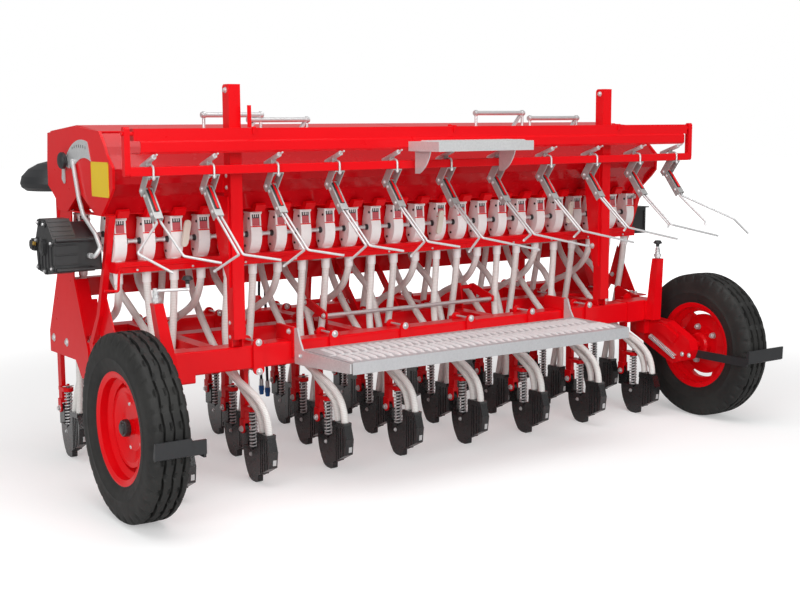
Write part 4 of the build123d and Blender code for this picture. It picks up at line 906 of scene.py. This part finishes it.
def harrow_details():
    """Clamps, bolts, stays, a black plate of painted shade in each tine holder's hollow, and the red spacer
    in it.
    """
    clamps, nuts, stays, hollow_shade_plates, spacers = [], [], [], [], []
    for x in TINE_XS:
        loop = [(x, TUBE_REAR - 5, TUBE_LOW - 16), (x, TUBE_REAR - 5, TUBE_TOP - 4),
                (x, TUBE_REAR + 6, TUBE_TOP + 5), (x, TUBE_FRONT - 6, TUBE_TOP + 5),
                (x, TUBE_FRONT + 5, TUBE_TOP - 4), (x, TUBE_FRONT + 5, TUBE_LOW - 16)]
        clamps.append(tube(rounded(loop, 7, 4), 4.4, 8, RIGHT))
        for station in (TUBE_REAR - 5, TUBE_FRONT + 5):
            nuts.append(bolt((x, station, TUBE_LOW - 5), DOWN, 14))
        for at_station, at_z in ((-36, 1244), (-98, 1176)):
            for side in (-1, 1):
                nuts.append(dome_bolt((x + side * 18, at_station, at_z), RIGHT * side, 6.5))
        for side in (-1, 1):
            nuts.append(dome_bolt((x + side * 24, -20, 1264), RIGHT * side, 7.5))
        stays.append(tube([(x, 22, 1357), (x, -20, 1371), (x, -96, 1396)], 10.5, 8))
        stays.append(tube([(x, -94, 1395), (x, -124, 1405)], 4, 6))
        # Black plate in the holder's hollow: painted shade.
        hollow_shade_plates.append(prism([(-37.3, 1269.3), (-108, 1187.2), (-105, 1184.6), (-34.3, 1266.7)],
                             x - 11, x + 11))
        spacers.append(turned((x - 19.5, -19, 1266), RIGHT, [(0, 15), (39, 15)], 12))
        spacers.append(tube([(x + 2, -30, 1272), (x + 2, -60, 1246), (x + 2, -108, 1190)], 5, 6))
    piece("harrow_stays", stays, SPRING, smooth=40)
    piece("holder_hollow_painted_shade", hollow_shade_plates, CASE)
    piece("holder_spacers", spacers, RED, smooth=50)
    piece("harrow_clamps", clamps, ZINC, smooth=60)
    piece("harrow_nuts", nuts, STEEL, smooth=35)


harrow_details()


# ---------------------------------------------------------------- frame fittings
def frame_fittings():
    """Bolt heads of the frame, side by side for both sides, and the fold along the metering rail."""
    heads = []
    # masts: cross bolt and top pin
    for side in (-1, 1):
        for face in (1003, 1056):
            heads.append(bolt((side * face, 30, 1656), RIGHT * side * (1 if face == 1056 else -1), 17))
        heads.append(turned((side * 1030, 34, 1679.4), UP, [(-2, 9), (0, 9), (0.5, 8), (0.6, 5)], 12))
        for z in (640, 700, 1262, 1310, 1430, 1480):
            heads.append(dome_bolt((side * 1056, 40, z), RIGHT * side, 6.5))
        for station, z in ((66, 1250), (104, 1268), (60, 900)):
            heads.append(bolt((side * 995, station, z), RIGHT * -side, 19))
        # side frames
        for station in (757, 922):
            heads.append(dome_bolt((side * 1500, station, 564), RIGHT * side, 14))
        for station, z in ((246, 1124), (262, 1062), (404, 690), (464, 630)):
            heads.append(bolt((side * 1467, station, z), RIGHT * -side, 17))
        for station, z in ((240, 622), (210, 622)):
            heads.append(bolt((side * 1450, station, 606), UP, 19))
        # scraper and arm bolts
        for station in (-215, -262):
            heads.append(dome_bolt((side * 1400, station + 30, 337), RIGHT * -side, 9))
            heads.append(bolt((side * 1472.4, station + 8, 337), RIGHT * side, 17))
        for z in (470, 560):
            heads.append(bolt((side * 1417.5, 90, z - 20), RIGHT * side, 19, False))
        # hitch plates
        for station, z in ((1010, 640), (1010, 560), (1010, 520)):
            heads.append(bolt((side * 397.4, station, z), RIGHT * -side, 17))
    for x in np.arange(-1375, 1376, 250.0):
        heads.append(bolt((x, 236.5, 926), BACK, 9, False))
    for side in (-1, 1):
        heads.append(bolt((side * 775, 40, BEAM_TOP + 40), RIGHT * side, 17))
        heads.append(bolt((side * 769, -40, 540), RIGHT * side, 15))
    for x in (-480, 480):
        heads.append(bolt((x - 6 * np.sign(x) * -1, 230, 655), RIGHT * np.sign(x), 17))
        heads.append(bolt((x + 10 * np.sign(x), 390, 700), RIGHT * np.sign(x), 17))
    piece("frame_bolts", heads, STEEL, smooth=30)
    fold = prism([(240.5, 936), (235.5, 938.5), (234, 942), (235.5, 945.5), (240.5, 948)], -1462, 1462)
    piece("rail_fold", [fold], RED, smooth=60)


RAIL_TOP = 1504.6            # upper edge of the loading rail
RAIL_HOOKS = ((-990, 90), (19, 8), (1024, 8))    # x and rise
# x and z of each handle strap's upper end, and how far it leans
STRAP_ENDS = {"left": ((-736, 1559, 52), (-502, 1537, 26)), "right": ((754, 1566, 52), (1120, 1540, 26))}


def latch(x, rise):
    """Sheet hook over the loading rail's upper edge, with an upright tongue of the given rise."""
    return prism([(-89, 1480), (-84, 1480), (-84, RAIL_TOP), (-44, RAIL_TOP), (-44, RAIL_TOP + rise),
                  (-49, RAIL_TOP + rise), (-50, 1509), (-86, 1509), (-89, 1506)], x - 8, x + 8)


def lid_latches():
    piece("rail_hooks", [latch(x, rise) for x, rise in RAIL_HOOKS], RED)
    for side, ends in STRAP_ENDS.items():
        straps = [panel([(x - 5, z + 5), (x + 7, z + 5), (x - lean + 6, 1503), (x - lean - 8, 1503)],
                        324, 342) for x, z, lean in ends]
        piece("handle_straps_" + side, straps, ZINC, body="lid_" + side)


def yellow_plate():
    """Blank plate with a raised border on the left hopper end."""
    x = -1512.2
    middle = prism([(170, 1234), (346, 1234), (346, 1367), (170, 1367)], x - 1.2, x)
    border = []
    for s0, s1, z0, z1 in ((165, 350, 1230, 1234), (165, 350, 1367, 1371), (165, 170, 1230, 1371),
                           (346, 350, 1230, 1371)):
        border.append(slab(x - 1.8, x, s0, s1, z0, z1, 0.8))
    piece("yellow_plate", [middle] + border, YELLOW)


def gearbox_details():
    """Ribs, cover bolts, plug and knob on the left drive box."""
    out = -1700.0
    ribs, heads = [], []
    for station in (330, 368, 406, 444, 482):
        ribs.append(slab(out - 3, out + 3, station - 2.5, station + 2.5, 935, 1050, 2))
    for z in (960, 1000, 1040):
        ribs.append(slab(out + 4, -1604, 296.5, 300.5, z - 3, z + 3, 1.5))
    for t in np.linspace(0.1, 0.9, 5):
        s, z = 300 + 92 * t, 1052 + 88 * t
        ribs.append(prism([(s - 4, z - 2), (s + 2, z + 5), (s + 6, z + 3), (s + 1, z - 3)], -1694, -1606))
    for station, z in ((318, 945), (318, 1048), (400, 1120), (468, 1124), (495, 1050), (486, 940),
                       (404, 928)):
        ribs.append(turned((out + 1, station, z), LEFT, [(0, 13), (0, 14), (5, 14), (7, 12), (7.2, 8)], 16))
        heads.append(bolt((out - 6, station, z), LEFT, 11, False))
    ribs.append(turned((out - 10, 420, 1025), LEFT, [(0, 22), (0, 27), (3, 27), (4, 16), (5, 14)], 24))
    piece("gearbox_ribs", ribs, CASE, smooth=35)
    piece("gearbox_bolts", heads, STEEL, smooth=35)
    piece("gearbox_plug", [bolt((out - 8, 505, 1036), LEFT, 16)], BRASS, smooth=35)
    knob = [turned((-1517, 624, 1370), LEFT,
                   [(0, 8), (4, 10), (8, 30), (12, 36), (24, 36), (30, 30), (32, 18)], 20)]
    piece("rate_knob", knob, MATT, smooth=35)
    marks = [slab(-1517, -1515.6, s, s + 1.2, z, z + 12, 0.4)
             for s, z in ((400, 1420), (425, 1424), (450, 1426), (475, 1427), (500, 1426), (525, 1423),
                          (550, 1418))]
    piece("quadrant_marks", marks, MATT)
    fitting = [turned((-1546, 317, 990), BACK, [(0, 9), (0, 12), (20, 12), (20, 9), (30, 8.6)], 12)]
    piece("conduit_end", fitting, STEEL, smooth=35)


def arm_springs():
    """Tension spring under each wheel arm."""
    coils = []
    for side in (-1, 1):
        a, b = np.array([side * 1400, 40, 400.0]), np.array([side * 1400, -130, 316.0])
        coils.append(helix(a, b, 12, 22, 2.6, 6, 10))
    piece("arm_springs", coils, ZINC, smooth=80)


def screw_threads():
    """Trapezoid thread on each depth screw and the nut under its knob."""
    turns, heads = [], []
    for side in (-1, 1):
        foot = np.array([side * 1398.4, 0.5, 818.0])
        turns.append(helix(foot, foot + (side * 2.0, 3, 50), 10.5, 9, 2.2, 5, 12))
        heads.append(turned(foot + (0, 0, 6), UP, [(0, 14), (0, 17, True), (14, 17, True), (15, 14)], 12))
        heads.append(turned(foot + (side * 1, 1, 34), UP, [(0, 11), (0, 13), (8, 13), (8, 10)], 12))
    piece("screw_threads", turns, STEEL, smooth=60)
    piece("screw_nuts", heads, STEEL, smooth=30)


def drop_hook():
    """Red bent rod that hangs from the metering rail at the left."""
    line = [(-1452, 228, 925), (-1462, 215, 925), (-1466, 212, 900), (-1470, 212, 846), (-1529, 212, 853)]
    piece("drop_hook", [tube(rounded(line, 10), 6, 8, FORWARD)], RED, smooth=60)


frame_fittings()
lid_latches()
yellow_plate()
gearbox_details()
arm_springs()
screw_threads()
drop_hook()

# ---------------------------------------------------------------- finishes of the part's own nodes
FINISHES = {"red_paint": RED, "galvanised": ZINC, "spring_steel": SPRING, "bright_steel": STEEL,
            "black_cast": BLACK, "black_plastic": MATT, "white_plastic": WHITE, "hose": HOSE, "tyre": TYRE,
            "black_rubber": HOSE_BLACK, "blue_cap": BLUE, "yellow_label": YELLOW}
NODE_FINISHES = {"drive_boxes": CASE, "hopper_walls": SHADED_WALL_RED, "footboard": SHADED_DECK_ZINC,
                 "tine_holders": HOLDER_ZINC}
for part in frame["record"]["subparts"]:
    node = frame["nodes"][part["node"]]
    finish = NODE_FINISHES.get(part["node"], FINISHES[part["material_slot"]])
    for slot in node.material_slots:
        slot.link = "OBJECT"
        slot.material = finish
